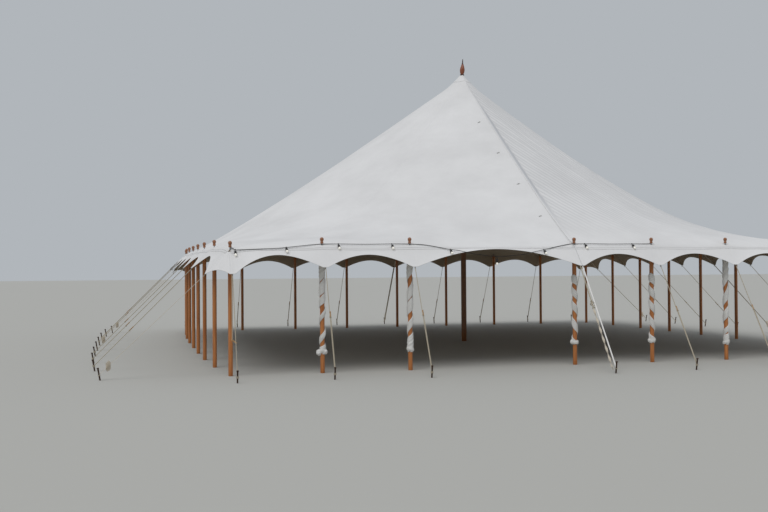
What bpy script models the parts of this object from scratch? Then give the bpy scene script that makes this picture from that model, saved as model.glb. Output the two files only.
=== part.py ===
"""Square pole marquee with a petal eave: one king pole, side poles, laced roof, guys and stakes.

Metres, +Z up. The origin is on the ground under the king pole, +X runs along the
front to the right and the front faces -Y.
"""
import math

import bmesh
import bpy
from mathutils import Vector

# Plan and heights
BAY = 1.524
BAYS = 8
EAVE_HEIGHT = 2.14
CROWN_HEIGHT = 6.255
DOORWAY_POLE = -1
CORNER_EAVE_DROP = 0.06
SIDE_BOW = 0.22
BOW_POWER = 3.2

# Roof canvas
CANVAS = 0.008
ROOF_POWER = 1.08
CORNER_SPREAD = 12.0
CORNER_SHARPNESS = 80.0
HIP_SAG = 0.035
CROWN_RADIUS = 0.09
EAVE_LIP = 0.05
EAVE_SAG = 0.02
ROOF_RINGS = (0.07, 0.18, 0.32, 0.47, 0.62, 0.76, 0.87, 0.95, 1.0)

# Petals of the eave
FRONT_TIP_OUT = 0.345
SIDE_TIP_OUT = 0.41
CORNER_TIP_OUT = 0.41
TIP_DROP = 0.378
CORNER_TIP_DROP = 0.475
TIP_FLAT = 0.09
ARC_OUT = 0.20
ARC_DROP = 0.17
DOORWAY_ARC_OUT = 0.17
DOORWAY_ARC_DROP = 0.08
CORNER_ARC_RISE = 0.065
ARC_POWER = 1.9
ARC_STEPS = 6

# Side poles, their pins and knobs
POLE_RADIUS = 0.0375
POLE_TIP_RADIUS = 0.022
POLE_TAPER = 0.05
PIN_RADIUS = 0.008
PIN_SHOWING = 0.022
KNOB_HEIGHT = 0.105
KNOB_RADIUS = 0.033
KNOB_PROFILE = ((0.75, 0.0), (0.60, 0.25), (1.0, 0.55), (0.90, 0.82), (0.35, 1.0))
POLE_BELOW_CANVAS = 0.05

# King pole, crown ring and finial
KING_RADIUS = 0.0625
KING_TIP_RADIUS = 0.045
KING_TAPER = 0.35
CROWN_RING_HEIGHT = 0.05
FINIAL_HEIGHT = 0.42
FINIAL_RADIUS = 0.062
FINIAL_PIN_RADIUS = 0.012
FINIAL_PIN_SHOWING = 0.03
FINIAL_PROFILE = ((0.50, 0.0), (0.62, 0.04), (0.50, 0.09), (0.80, 0.17), (1.0, 0.28),
                  (0.96, 0.40), (0.70, 0.58), (0.36, 0.72), (0.20, 0.80), (0.12, 1.0))

# Lacing flap
FLAP_WIDTH = 0.06
FLAP_THICKNESS = 0.004
FLAP_STOP = 0.045

# Guys, straps, runners and stakes
ROPE_RADIUS = 0.006
STRAP_WIDTH = 0.05
STRAP_THICKNESS = 0.004
END_GUY_RUNS = (1.06, 1.03, 1.24, 1.24, 1.54, 1.46, 1.40, 1.40, 1.40)
SIDE_GUY_RUN = 2.05
STAKE_RADIUS = 0.014
STAKE_HEIGHT = 0.20
STAKE_LEAN = 0.035
STAKE_HOLD = 0.09
GUY_LIFT = 0.001

# Voile wraps of the front poles
WRAP_THICKNESS = 0.010
WRAP_FOOT = 0.45
WRAP_BELOW_POLE_TOP = 0.12

# Band of webbing that joins the guys of a side just outside the eave seam
BAND_START = 0.004
BAND_WIDTH = 0.035
BAND_THICKNESS = 0.003
BAND_LIFT = 0.005

# String of lamps along the front eave. The route is in bays from the middle pole, metres
# out of the pole line and metres above the canvas at the poles.
CABLE_RADIUS = 0.004
CABLE_SIDES = 8
CABLE_POINTS = 80
CABLE_ROUTE = (
    (-4.0, -0.0125, -0.045), (-3.986, -0.006, -0.043), (-3.97, 0.02, -0.056),
    (-3.95, 0.061, -0.080), (-3.845, 0.060, -0.078), (-3.74, 0.066, -0.072),
    (-3.635, 0.078, -0.066), (-3.524, 0.082, -0.061), (-3.406, 0.06, -0.045),
    (-3.248, 0.028, -0.020), (-3.123, 0.008, 0.0), (-3.03, -0.008, 0.011),
    (-3.0, -0.0125, 0.013), (-2.81, -0.008, 0.015), (-2.5, -0.008, 0.009),
    (-2.2, -0.008, 0.015), (-2.03, -0.010, 0.014), (-2.0, -0.0125, 0.013),
    (-1.955, -0.006, 0.010), (-1.84, 0.012, 0.0), (-1.71, 0.05, -0.033),
    (-1.575, 0.112, -0.078), (-1.476, 0.178, -0.100), (-1.41, 0.214, -0.122),
    (-1.345, 0.216, -0.145), (-1.214, 0.212, -0.178), (-1.017, 0.212, -0.210),
    (-0.853, 0.211, -0.197),
    (-0.69, 0.208, -0.174), (-0.577, 0.218, -0.137), (-0.472, 0.160, -0.108),
    (-0.361, 0.105, -0.076), (-0.249, 0.058, -0.042), (-0.131, 0.020, -0.008),
    (-0.04, -0.008, 0.011), (0.0, -0.0125, 0.013), (0.2, -0.009, 0.014),
    (0.5, -0.008, 0.009), (0.755, -0.008, 0.012), (0.95, -0.010, 0.012),
    (1.0, -0.0125, 0.013))
LAMP_PLACES = (-3.95, -3.40, -2.815, -2.206, -1.55, -1.011, -0.42, 0.138, 0.748)
LAMP_LIFT = 0.040
LAMP_PROFILE = ((0.003, -0.007), (0.008, -0.003), (0.008, 0.006), (0.004, 0.012),
                (0.004, 0.050), (0.014, 0.056), (0.014, 0.098), (0.022, 0.128),
                (0.019, 0.145), (0.007, 0.158))

# Clearances
TOUCH_GAP = 0.0003
CROWN_CLEARANCE = 0.0006

POLE_SIDES = 8
STAKE_SIDES = 8
RING_SIDES = 32
ROPE_SIDES = 6

# Points of the eave seam round a corner, in shares of the lip past each pole line
CORNER_LIP = ((0.8, 1.0), (1.0, 1.0), (1.0, 0.8), (1.0, 0.4))

HALF = BAY * BAYS / 2
SIDE_NAMES = ("front", "right", "back", "left")
HALF_BAYS = BAYS // 2


def clear_scene():
    """Remove what the file holds, so that only the marquee is built."""
    for item in list(bpy.data.objects):
        bpy.data.objects.remove(item, do_unlink=True)


def make_material(name, colour, roughness, metallic=0.0):
    """A plain Principled material in one colour."""
    made = bpy.data.materials.new(name)
    made.use_nodes = True
    shader = made.node_tree.nodes["Principled BSDF"]
    shader.inputs["Base Color"].default_value = (*colour, 1.0)
    shader.inputs["Roughness"].default_value = roughness
    shader.inputs["Metallic"].default_value = metallic
    made.diffuse_color = (*colour, 1.0)
    return made


def make_object(name, mesh_builder, finish, smooth=True):
    """Turn a filled bmesh into one named object with its own material."""
    bmesh.ops.recalc_face_normals(mesh_builder, faces=mesh_builder.faces)
    mesh = bpy.data.meshes.new(name)
    mesh_builder.to_mesh(mesh)
    mesh_builder.free()
    if smooth:
        mesh.shade_smooth()
        mesh.set_sharp_from_angle(angle=math.radians(35.0))
    made = bpy.data.objects.new(name, mesh)
    made.data.materials.append(finish)
    bpy.context.scene.collection.objects.link(made)
    return made


def side_frame(side):
    """Unit vectors of a side: along it, seen from outside to the right, and out of it."""
    turn = SIDE_NAMES.index(side) * math.pi / 2
    along = Vector((round(math.cos(turn)), round(math.sin(turn)), 0.0))
    out = Vector((round(math.sin(turn)), -round(math.cos(turn)), 0.0))
    return along, out


def side_bow(side, along_distance):
    """How far a side's pole line bows outwards, straight between half bays.

    The front, the back and the flat tips at the corners are straight.
    """
    nodes = [step * BAY / 2 for step in range(2 * HALF_BAYS)] + [HALF - TIP_FLAT / 2]
    distance = abs(along_distance)
    if side in ("front", "back") or distance >= nodes[-1]:
        return 0.0
    for low, high in zip(nodes[:-1], nodes[1:]):
        if distance <= high:
            break
    bows = [SIDE_BOW * (1 - (node / nodes[-1]) ** BOW_POWER) for node in (low, high)]
    return bay_mix(bows[0], bows[1], (distance - low) / (high - low))


def side_point(side, along_distance, out_distance, height):
    """A point given by its place along a side, out of the pole line and up."""
    along, out = side_frame(side)
    reach = HALF + side_bow(side, along_distance) + out_distance
    point = along * along_distance + out * reach
    point.z = height
    return point


def pole_numbers(side):
    """Numbers of the poles that a side owns, counted from its middle."""
    if side in ("front", "back"):
        numbers = list(range(-HALF_BAYS, HALF_BAYS + 1))
    else:
        numbers = list(range(-HALF_BAYS + 1, HALF_BAYS))
    if side == "front":
        numbers.remove(DOORWAY_POLE)
    return numbers


def guy_numbers(side):
    """Numbers of the poles that have a guy out of this side."""
    numbers = list(range(-HALF_BAYS, HALF_BAYS + 1))
    if side == "front":
        numbers.remove(DOORWAY_POLE)
    return numbers


def has_strap(side, number):
    """Middle poles and the outer guys of both ends are held by webbing, the rest by rope."""
    return number == 0 or (side in ("left", "right") and abs(number) == HALF_BAYS)


def tip_out(side, number):
    """How far the petal at a pole reaches out of the pole line."""
    if abs(number) == HALF_BAYS:
        return CORNER_TIP_OUT
    return FRONT_TIP_OUT if side in ("front", "back") else SIDE_TIP_OUT


def guy_run(side, number):
    """Distance on the ground from the pole line to the stake of a pole."""
    if side in ("front", "back"):
        return END_GUY_RUNS[number + HALF_BAYS]
    return SIDE_GUY_RUN


def pole_eave(number):
    """Height of the canvas at a side pole; the corners stand a little lower."""
    return EAVE_HEIGHT - (CORNER_EAVE_DROP if abs(number) == HALF_BAYS else 0.0)


def tip_height(number):
    """Height of the petal's tip at a side pole; the corners are pulled down further."""
    drop = CORNER_TIP_DROP if abs(number) == HALF_BAYS else TIP_DROP
    return EAVE_HEIGHT - drop


def lip_height(side, number):
    """Canvas height at the eave seam, on the straight line from a pole to its petal's tip."""
    slope = (pole_eave(number) - tip_height(number)) / tip_out(side, number)
    return pole_eave(number) - slope * EAVE_LIP


def bay_mix(low, high, share):
    """Linear mix of two values."""
    return low + (high - low) * share


def arc_shape(share):
    """1 at the poles and 0 in the middle of a bay, rounded as a scallop is."""
    return abs(2 * share - 1) ** ARC_POWER


def bay_spans(side):
    """Pairs of neighbouring poles of a side; the doorway spans two bays."""
    numbers = guy_numbers(side)
    return list(zip(numbers[:-1], numbers[1:]))


def eave_profile(side):
    """Rows of seam and edge points of a side's petals, from its left end to its right end."""
    rows = []
    flat = TIP_FLAT / 2
    for first, last in bay_spans(side):
        wide = last - first > 1
        arc_out = DOORWAY_ARC_OUT if wide else ARC_OUT
        arc_drop = DOORWAY_ARC_DROP if wide else ARC_DROP
        start = first * BAY
        end = last * BAY
        stations = [start, start + flat]
        steps = ARC_STEPS * (2 if wide else 1)
        for step in range(1, steps):
            stations.append(bay_mix(start + flat, end - flat, step / steps))
        stations.append(end - flat)
        if last == HALF_BAYS:
            stations.append(end)
        for station in stations:
            share = (station - start - flat) / (end - start - 2 * flat)
            share = min(1.0, max(0.0, share))
            shape = arc_shape(share)
            pole_lip = bay_mix(lip_height(side, first), lip_height(side, last), share)
            middle_lip = EAVE_HEIGHT - EAVE_SAG - arc_drop * EAVE_LIP / arc_out
            tip = bay_mix(tip_height(first), tip_height(last), share)
            seam = (station, EAVE_LIP, bay_mix(middle_lip, pole_lip, shape))
            reach = bay_mix(tip_out(side, first), tip_out(side, last), share)
            edge_out = bay_mix(arc_out, reach, shape)
            edge = (station, edge_out, bay_mix(EAVE_HEIGHT - arc_drop, tip, shape))
            rows.append((seam, edge))
    return rows


def corner_profile(side):
    """Seam and edge points round the right-hand corner of the front or the back."""
    flat = TIP_FLAT / 2
    eave = lip_height(side, HALF_BAYS)
    tip = tip_height(HALF_BAYS)
    reach = CORNER_TIP_OUT
    rows = [((HALF, EAVE_LIP, eave), (HALF, reach, tip))]
    for step, (past, out_of) in enumerate(CORNER_LIP):
        seam = (HALF + EAVE_LIP * past, EAVE_LIP * out_of)
        share = step / (len(CORNER_LIP) - 1)
        edge_along = bay_mix(HALF + flat, HALF + reach, share)
        edge_out = bay_mix(reach, flat, share)
        rise = CORNER_ARC_RISE * (1 - (2 * share - 1) ** 2)
        rows.append(((*seam, eave), (edge_along, edge_out, tip + rise)))
    end_gap = TOUCH_GAP / 2
    rows.append(((HALF + EAVE_LIP, end_gap, eave), (HALF + reach, end_gap, tip)))
    return rows


def mirror_rows(rows):
    """The same rows on the other end of the side, in rising order."""
    turned = []
    for seam, edge in reversed(rows):
        turned.append(((-seam[0], *seam[1:]), (-edge[0], *edge[1:])))
    return turned


def skin(mesh_builder, grid, thickness):
    """Close a grid of top points into one sheet of the given upright thickness."""
    top = [[mesh_builder.verts.new(point) for point in row] for row in grid]
    bottom = []
    for row in grid:
        lower = [Vector(point) - Vector((0.0, 0.0, thickness)) for point in row]
        bottom.append([mesh_builder.verts.new(point) for point in lower])
    rows = len(grid)
    columns = len(grid[0])
    new_face = mesh_builder.faces.new
    for row in range(rows - 1):
        for column in range(columns - 1):
            for sheet in (top, bottom):
                corners = (sheet[row][column], sheet[row][column + 1],
                           sheet[row + 1][column + 1], sheet[row + 1][column])
                new_face(corners if sheet is top else corners[::-1])
    for row in (0, rows - 1):
        for column in range(columns - 1):
            new_face((top[row][column], bottom[row][column],
                      bottom[row][column + 1], top[row][column + 1]))
    for column in (0, columns - 1):
        for row in range(rows - 1):
            new_face((top[row][column], top[row + 1][column],
                      bottom[row + 1][column], bottom[row][column]))


def petal_strip(name, side, rows, finish):
    """One strip of petals, laid just outside the eave seam of the roof."""
    builder = bmesh.new()
    grid = []
    for share in (0.0, 0.5, 1.0):
        line = []
        for seam, edge in rows:
            start = Vector(seam)
            if seam[1] >= EAVE_LIP:
                start.y += TOUCH_GAP
            if seam[0] >= HALF + EAVE_LIP:
                start.x += TOUCH_GAP
            if seam[0] <= -HALF - EAVE_LIP:
                start.x -= TOUCH_GAP
            along, out, height = start.lerp(Vector(edge), share)
            line.append(side_point(side, along, out, height))
        grid.append(line)
    skin(builder, grid, CANVAS)
    return make_object(name, builder, finish)


def trimmed(rows, low, high):
    """Rows between two stations, with a small gap kept to what lies next to them."""
    kept = []
    for seam, edge in rows:
        if low - TOUCH_GAP < seam[0] < high + TOUCH_GAP:
            kept.append((list(seam), list(edge)))
    if kept[0][0][0] > -HALF - TOUCH_GAP:
        for point in kept[0]:
            point[0] += TOUCH_GAP / 2
    if kept[-1][0][0] < HALF + TOUCH_GAP:
        for point in kept[-1]:
            point[0] -= TOUCH_GAP / 2
    return kept


def build_petals(finish):
    """Six strips of petals: the front and back are laced in two halves like the roof."""
    for side in ("front", "back"):
        rows = eave_profile(side)
        corner = corner_profile(side)
        right = trimmed(rows + corner[1:], 0.0, HALF + BAY)
        left = trimmed(mirror_rows(corner)[:-1] + rows, -HALF - BAY, 0.0)
        right_half, left_half = (right, left) if side == "front" else (left, right)
        petal_strip(f"petals_{side}_right", side, right_half, finish)
        petal_strip(f"petals_{side}_left", side, left_half, finish)
    for side in ("left", "right"):
        rows = trimmed(eave_profile(side), -HALF, HALF)
        petal_strip(f"petals_{side}", side, rows, finish)


def half_perimeter():
    """Stations on the pole line from the front middle round the right side to the back middle.

    They lie half a bay apart, and closer in the bays beside a corner.
    """
    numbers = [step / 2 for step in range(2 * HALF_BAYS - 1)]
    close = [HALF_BAYS - share for share in (0.75, 0.5, 0.25, TIP_FLAT / 2 / BAY, 0)]
    half_side = numbers + close
    stations = [("front", number * BAY) for number in half_side]
    stations += [("right", -number * BAY) for number in half_side[:0:-1] if number < HALF_BAYS]
    stations += [("right", number * BAY) for number in half_side]
    stations += [("back", -number * BAY) for number in half_side[::-1] if number < HALF_BAYS]
    return stations


def station_heights(side, along):
    """Heights of the canvas at the pole line and at the eave seam of a station."""
    for first, last in bay_spans(side):
        if along <= last * BAY + TOUCH_GAP:
            break
    arc_out = DOORWAY_ARC_OUT if last - first > 1 else ARC_OUT
    arc_drop = DOORWAY_ARC_DROP if last - first > 1 else ARC_DROP
    flat = TIP_FLAT / 2
    share = (along - first * BAY - flat) / ((last - first) * BAY - 2 * flat)
    share = min(1.0, max(0.0, share))
    shape = arc_shape(share)
    middle = EAVE_HEIGHT - EAVE_SAG
    pole_line = bay_mix(pole_eave(first), pole_eave(last), share)
    pole_lip = bay_mix(lip_height(side, first), lip_height(side, last), share)
    lip = bay_mix(middle - arc_drop * EAVE_LIP / arc_out, pole_lip, shape)
    return bay_mix(middle, pole_line, shape), lip


def contour_radius(share, angle):
    """Plan radius of the roof at a share of the way down: round above, square at the eave."""
    spread = share ** CORNER_SPREAD
    inverse = bay_mix(0.5, 1 / CORNER_SHARPNESS, spread)
    across = abs(math.cos(angle))
    deep = abs(math.sin(angle))
    largest = max(across, deep)
    norm = (across / largest) ** (1 / inverse) + (deep / largest) ** (1 / inverse)
    return HALF * share * norm ** -inverse / largest


def roof_grid(sign):
    """Top points of one half of the roof, ring by ring from the crown to the eave seam."""
    grid = [[] for _ in range(len(ROOF_RINGS) + 2)]
    for side, along in half_perimeter():
        real_side = "left" if sign < 0 and side == "right" else side
        along *= sign
        eave, lip = station_heights(real_side, along)
        foot = side_point(real_side, along, 0.0, eave)
        angle = math.atan2(foot.y, foot.x)
        on_lacing = abs(foot.x) < TOUCH_GAP
        shift = Vector((sign * TOUCH_GAP / 2 if on_lacing else 0.0, 0.0, 0.0))
        spoke = Vector((math.cos(angle), math.sin(angle), 0.0))
        square = HALF / max(abs(spoke.x), abs(spoke.y))
        stretch = foot.xy.length / square
        crown = spoke * CROWN_RADIUS + Vector((0.0, 0.0, CROWN_HEIGHT))
        grid[0].append(crown + shift)
        for ring, share in enumerate(ROOF_RINGS, start=1):
            if share == 1.0:
                point = foot.copy()
            else:
                bowed = bay_mix(1.0, stretch, share ** 2)
                point = spoke * contour_radius(share, angle) * bowed
                fall = (1 - share) ** ROOF_POWER
                fall -= HIP_SAG * 4 * share * (1 - share) * abs(math.sin(2 * angle))
                point.z = bay_mix(eave, CROWN_HEIGHT, fall)
            grid[ring].append(point + shift)
        edge = side_point(real_side, along, EAVE_LIP, lip)
        if abs(abs(along) - HALF) < TOUCH_GAP:
            other = Vector((math.copysign(HALF + EAVE_LIP, foot.x),
                            math.copysign(HALF + EAVE_LIP, foot.y), lip))
            edge = other
        grid[-1].append(edge + shift)
    return grid


def pole_name(side, number):
    """Node name of a side pole, numbered from the left end of its side."""
    return f"pole_{side}_{number + HALF_BAYS}"


def pole_places():
    """Every side pole as its side, number and foot point."""
    places = []
    for side in SIDE_NAMES:
        for number in pole_numbers(side):
            places.append((side, number, side_point(side, number * BAY, 0.0, 0.0)))
    return places


def turned(mesh_builder, profile, centre, sides):
    """A round solid about an upright axis from a list of (radius, height) pairs."""
    rings = []
    for radius, height in profile:
        ring = []
        for step in range(sides):
            angle = 2 * math.pi * step / sides
            offset = Vector((radius * math.cos(angle), radius * math.sin(angle), height))
            ring.append(mesh_builder.verts.new(centre + offset))
        rings.append(ring)
    join_rings(mesh_builder, rings)


def build_roof(finish):
    """Two halves of canvas that meet on the lacing line, with a hole for each pole pin."""
    cutter = bmesh.new()
    for _side, number, foot in pole_places():
        low = pole_eave(number) - POLE_BELOW_CANVAS
        high = pole_eave(number) + PIN_SHOWING
        radius = PIN_RADIUS + TOUCH_GAP
        turned(cutter, ((radius, low), (radius, high)), foot, POLE_SIDES)
    holes = make_object("pin_holes", cutter, finish, smooth=False)
    holes.hide_render = True
    holes.display_type = "WIRE"
    for name, sign in (("roof_left", -1), ("roof_right", 1)):
        builder = bmesh.new()
        skin(builder, roof_grid(sign), CANVAS)
        bmesh.ops.triangulate(builder, faces=builder.faces)
        half = make_object(name, builder, finish)
        cut = half.modifiers.new("pin_holes", "BOOLEAN")
        cut.operation = "DIFFERENCE"
        cut.solver = "EXACT"
        cut.object = holes


def flap_band(name, sign, finish):
    """A band of canvas over the lacing of the two halves, from the crown to the eave pole."""
    middle = [row[0 if sign < 0 else -1] for row in roof_grid(1)][:-1]
    line = [Vector((0.0, point.y, point.z)) for point in middle]
    last = line[-1]
    before = line[-2]
    share = FLAP_STOP / (last - before).length
    line[-1] = last.lerp(before, share)
    grid = []
    for point in line:
        lifted = point + Vector((0.0, 0.0, TOUCH_GAP + FLAP_THICKNESS))
        grid.append([lifted - Vector((FLAP_WIDTH / 2, 0.0, 0.0)),
                     lifted + Vector((FLAP_WIDTH / 2, 0.0, 0.0))])
    builder = bmesh.new()
    skin(builder, grid, FLAP_THICKNESS)
    return make_object(name, builder, finish)


def build_poles(finish):
    """Side poles: a turned shaft, the pin through the canvas and the knob over it."""
    for side, number, foot in pole_places():
        builder = bmesh.new()
        eave = pole_eave(number)
        head = eave - POLE_BELOW_CANVAS
        knob = eave + PIN_SHOWING
        profile = [(POLE_RADIUS, 0.0),
                   (POLE_RADIUS, head - POLE_TAPER),
                   (POLE_TIP_RADIUS, head),
                   (PIN_RADIUS, head),
                   (PIN_RADIUS, knob)]
        for wide, high in KNOB_PROFILE:
            profile.append((KNOB_RADIUS * wide, knob + KNOB_HEIGHT * high))
        turned(builder, profile, foot, POLE_SIDES)
        make_object(pole_name(side, number), builder, finish)


def build_king(wood, steel, red_wood):
    """King pole, the crown ring that holds the canvas and the finial on its pin."""
    under_ring = CROWN_HEIGHT - CROWN_RING_HEIGHT
    head = under_ring - TOUCH_GAP
    shaft = bmesh.new()
    turned(shaft, ((KING_RADIUS, 0.0), (KING_RADIUS, head - KING_TAPER),
                   (KING_TIP_RADIUS, head)), Vector(), POLE_SIDES * 2)
    make_object("king_pole", shaft, wood)

    ring = bmesh.new()
    ring_solid(ring, FINIAL_PIN_RADIUS + TOUCH_GAP, CROWN_RADIUS - CROWN_CLEARANCE,
               under_ring, CROWN_HEIGHT, RING_SIDES)
    make_object("crown_ring", ring, steel)

    finial = bmesh.new()
    foot = CROWN_HEIGHT + FINIAL_PIN_SHOWING
    profile = [(FINIAL_PIN_RADIUS, under_ring + TOUCH_GAP), (FINIAL_PIN_RADIUS, foot)]
    for wide, high in FINIAL_PROFILE:
        profile.append((FINIAL_RADIUS * wide, foot + FINIAL_HEIGHT * high))
    turned(finial, profile, Vector(), POLE_SIDES)
    make_object("finial", finial, red_wood)


def ring_solid(mesh_builder, inner, outer, low, high, sides):
    """An upright ring with flat ends."""
    rings = []
    for radius, height in ((inner, low), (outer, low), (outer, high), (inner, high)):
        ring = []
        for step in range(sides):
            angle = 2 * math.pi * step / sides
            ring.append(mesh_builder.verts.new(
                (radius * math.cos(angle), radius * math.sin(angle), height)))
        rings.append(ring)
    join_rings(mesh_builder, rings, closed=True)


def guy_line(side, number, half_thickness):
    """Middle line of a guy: from the pole's pin, down its petal, to the stake."""
    reach = tip_out(side, number)
    tip = tip_height(number)
    eave = pole_eave(number)
    slope = math.atan2(eave - tip, reach)
    lift = half_thickness + GUY_LIFT
    normal = Vector((math.sin(slope), math.cos(slope)))
    start_out = PIN_RADIUS + TOUCH_GAP + half_thickness * math.sin(slope)
    start_base = start_out - normal.x * lift
    start = Vector((start_out, eave - start_base * math.tan(slope) + normal.y * lift))
    bend = Vector((reach, tip)) + normal * lift
    lean = STAKE_LEAN * STAKE_HOLD / STAKE_HEIGHT
    hold = Vector((guy_run(side, number) + lean, STAKE_HOLD))
    return start, bend, hold


def guy_outline(side, number):
    """Cross-section of a guy as (across, up) points, and its half thickness."""
    if has_strap(side, number):
        half = STRAP_THICKNESS / 2
        wide = STRAP_WIDTH / 2
        return ((-wide, -half), (wide, -half), (wide, half), (-wide, half)), half
    points = []
    for step in range(ROPE_SIDES):
        angle = 2 * math.pi * (step + 0.5) / ROPE_SIDES
        points.append((ROPE_RADIUS * math.cos(angle), ROPE_RADIUS * math.sin(angle)))
    return points, ROPE_RADIUS


def join_rings(mesh_builder, rings, closed=False):
    """Faces between rings of points, with flat ends unless the rings close on themselves."""
    count = len(rings[0])
    pairs = list(zip(rings[:-1], rings[1:]))
    if closed:
        pairs.append((rings[-1], rings[0]))
    for ring, other in pairs:
        for step in range(count):
            following = (step + 1) % count
            mesh_builder.faces.new((ring[step], ring[following], other[following], other[step]))
    if not closed:
        mesh_builder.faces.new(rings[0][::-1])
        mesh_builder.faces.new(rings[-1])


def guy_solid(mesh_builder, side, number):
    """One guy of even section, swept along its middle line."""
    outline, half = guy_outline(side, number)
    line = guy_line(side, number, half)
    normals = []
    for first, second in zip(line[:-1], line[1:]):
        run = (second - first).normalized()
        normals.append(Vector((-run.y, run.x)))
    mitre = (normals[0] + normals[1]).normalized()
    bends = [normals[0], mitre / mitre.dot(normals[0]), normals[1]]
    rings = []
    for point, bend in zip(line, bends):
        ring = []
        for across, up in outline:
            out, height = point + bend * up
            place = side_point(side, number * BAY + across, out, height)
            ring.append(mesh_builder.verts.new(place))
        rings.append(ring)
    join_rings(mesh_builder, rings)


def stake_solid(mesh_builder, side, number):
    """A stake that leans away from the tent, cut level with the ground."""
    rings = []
    for lean, height in ((0.0, 0.0), (STAKE_LEAN, STAKE_HEIGHT)):
        ring = []
        for step in range(STAKE_SIDES):
            angle = 2 * math.pi * (step + 0.5) / STAKE_SIDES
            along = number * BAY + STAKE_RADIUS * math.cos(angle)
            out = guy_run(side, number) + lean + STAKE_RADIUS * math.sin(angle)
            ring.append(mesh_builder.verts.new(side_point(side, along, out, height)))
        rings.append(ring)
    join_rings(mesh_builder, rings)


def band_solid(mesh_builder, side):
    """The band of webbing along a side, laid on the petals just outside the eave seam."""
    rings = []
    for seam, edge in eave_profile(side):
        start = Vector(seam)
        run = (Vector(edge) - start).normalized()
        ring = []
        for distance, up in ((BAND_START, 0.0), (BAND_START + BAND_WIDTH, 0.0),
                             (BAND_START + BAND_WIDTH, BAND_THICKNESS),
                             (BAND_START, BAND_THICKNESS)):
            along, out, height = start + run * distance
            place = side_point(side, along, out, height + BAND_LIFT + up)
            ring.append(mesh_builder.verts.new(place))
        rings.append(ring)
    join_rings(mesh_builder, rings)


def build_rigging(finish):
    """Guys of each side with their stakes, joined by the band of webbing along the eave."""
    for side in SIDE_NAMES:
        band = bmesh.new()
        band_solid(band, side)
        rigging = make_object(f"guys_and_stakes_{side}", band, finish, smooth=False)
        for label, solid in (("guys", guy_solid), ("stakes", stake_solid)):
            builder = bmesh.new()
            for number in guy_numbers(side):
                solid(builder, side, number)
            operand = make_object(f"{label}_{side}", builder, finish, smooth=False)
            operand.hide_render = True
            operand.display_type = "WIRE"
            union = rigging.modifiers.new(label, "BOOLEAN")
            union.operation = "UNION"
            union.solver = "EXACT"
            union.object = operand


def build_wraps(finish):
    """Voile wound round the inner front poles, as plain sleeves."""
    for number in pole_numbers("front"):
        if abs(number) == HALF_BAYS:
            continue
        builder = bmesh.new()
        inner = POLE_RADIUS + TOUCH_GAP / math.cos(math.pi / POLE_SIDES)
        high = EAVE_HEIGHT - POLE_BELOW_CANVAS - WRAP_BELOW_POLE_TOP
        ring_solid(builder, inner, inner + WRAP_THICKNESS, WRAP_FOOT, high, POLE_SIDES)
        bmesh.ops.translate(builder, verts=builder.verts,
                            vec=side_point("front", number * BAY, 0.0, 0.0))
        make_object(f"voile_wrap_{number + HALF_BAYS}", builder, finish)


def smooth_path(points, count):
    """That many points on a Catmull-Rom curve through the given ones."""
    places = [Vector(point) for point in points]
    places = [places[0] * 2 - places[1]] + places + [places[-1] * 2 - places[-2]]
    spans = len(points) - 1
    path = []
    for step in range(count):
        position = step / (count - 1) * spans
        span = min(int(position), spans - 1)
        share = position - span
        before, start, end, after = places[span:span + 4]
        bend = (before * 2 - start * 5 + end * 4 - after) * share ** 2
        twist = (start * 3 - before - end * 3 + after) * share ** 3
        path.append((start * 2 + (end - before) * share + bend + twist) / 2)
    return path


def cable_path():
    """The lamp cable's centre line, from the front left corner pin to the last knob it reaches."""
    points = []
    for bays, out, over in CABLE_ROUTE:
        points.append(side_point("front", bays * BAY, out, EAVE_HEIGHT + over))
    return smooth_path(points, CABLE_POINTS)


def path_frame(run):
    """Two unit vectors across a direction."""
    guide = Vector((1.0, 0.0, 0.0)) if abs(run.x) < abs(run.z) else Vector((0.0, 0.0, 1.0))
    first = run.cross(guide).normalized()
    return first, run.cross(first).normalized()


def circle_ring(mesh_builder, centre, run, radius, sides):
    """A ring of points square to a direction."""
    first, second = path_frame(run)
    ring = []
    for step in range(sides):
        angle = 2 * math.pi * step / sides
        offset = first * math.cos(angle) + second * math.sin(angle)
        ring.append(mesh_builder.verts.new(centre + offset * radius))
    return ring


def petal_section(along):
    """Seam point and edge point of a front petal at a station."""
    rows = eave_profile("front")
    for (seam, edge), (next_seam, next_edge) in zip(rows[:-1], rows[1:]):
        if seam[0] <= along <= next_seam[0]:
            break
    share = (along - seam[0]) / (next_seam[0] - seam[0])
    start = Vector(seam).lerp(Vector(next_seam), share)
    end = Vector(edge).lerp(Vector(next_edge), share)
    return start, end


def lamp_axis(along, top):
    """Direction of a lamp: down the petal's slope, or straight down where no canvas is below."""
    seam, edge = petal_section(along)
    if top.z < edge.z:
        return Vector((0.0, 0.0, -1.0))
    fall = Vector((0.0, edge.y - seam.y, edge.z - seam.z)).normalized()
    square = Vector((0.0, -fall.z, fall.y))
    length = LAMP_PROFILE[-1][1]
    out = -top.y - HALF
    slope_point = Vector((0.0, seam.y, seam.z)) + fall * ((out - seam.y) / fall.y + length)
    foot = slope_point + square * LAMP_LIFT
    _along, outward = side_frame("front")
    target = outward * (HALF + foot.y) + Vector((top.x, 0.0, foot.z))
    return (target - top).normalized()


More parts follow.
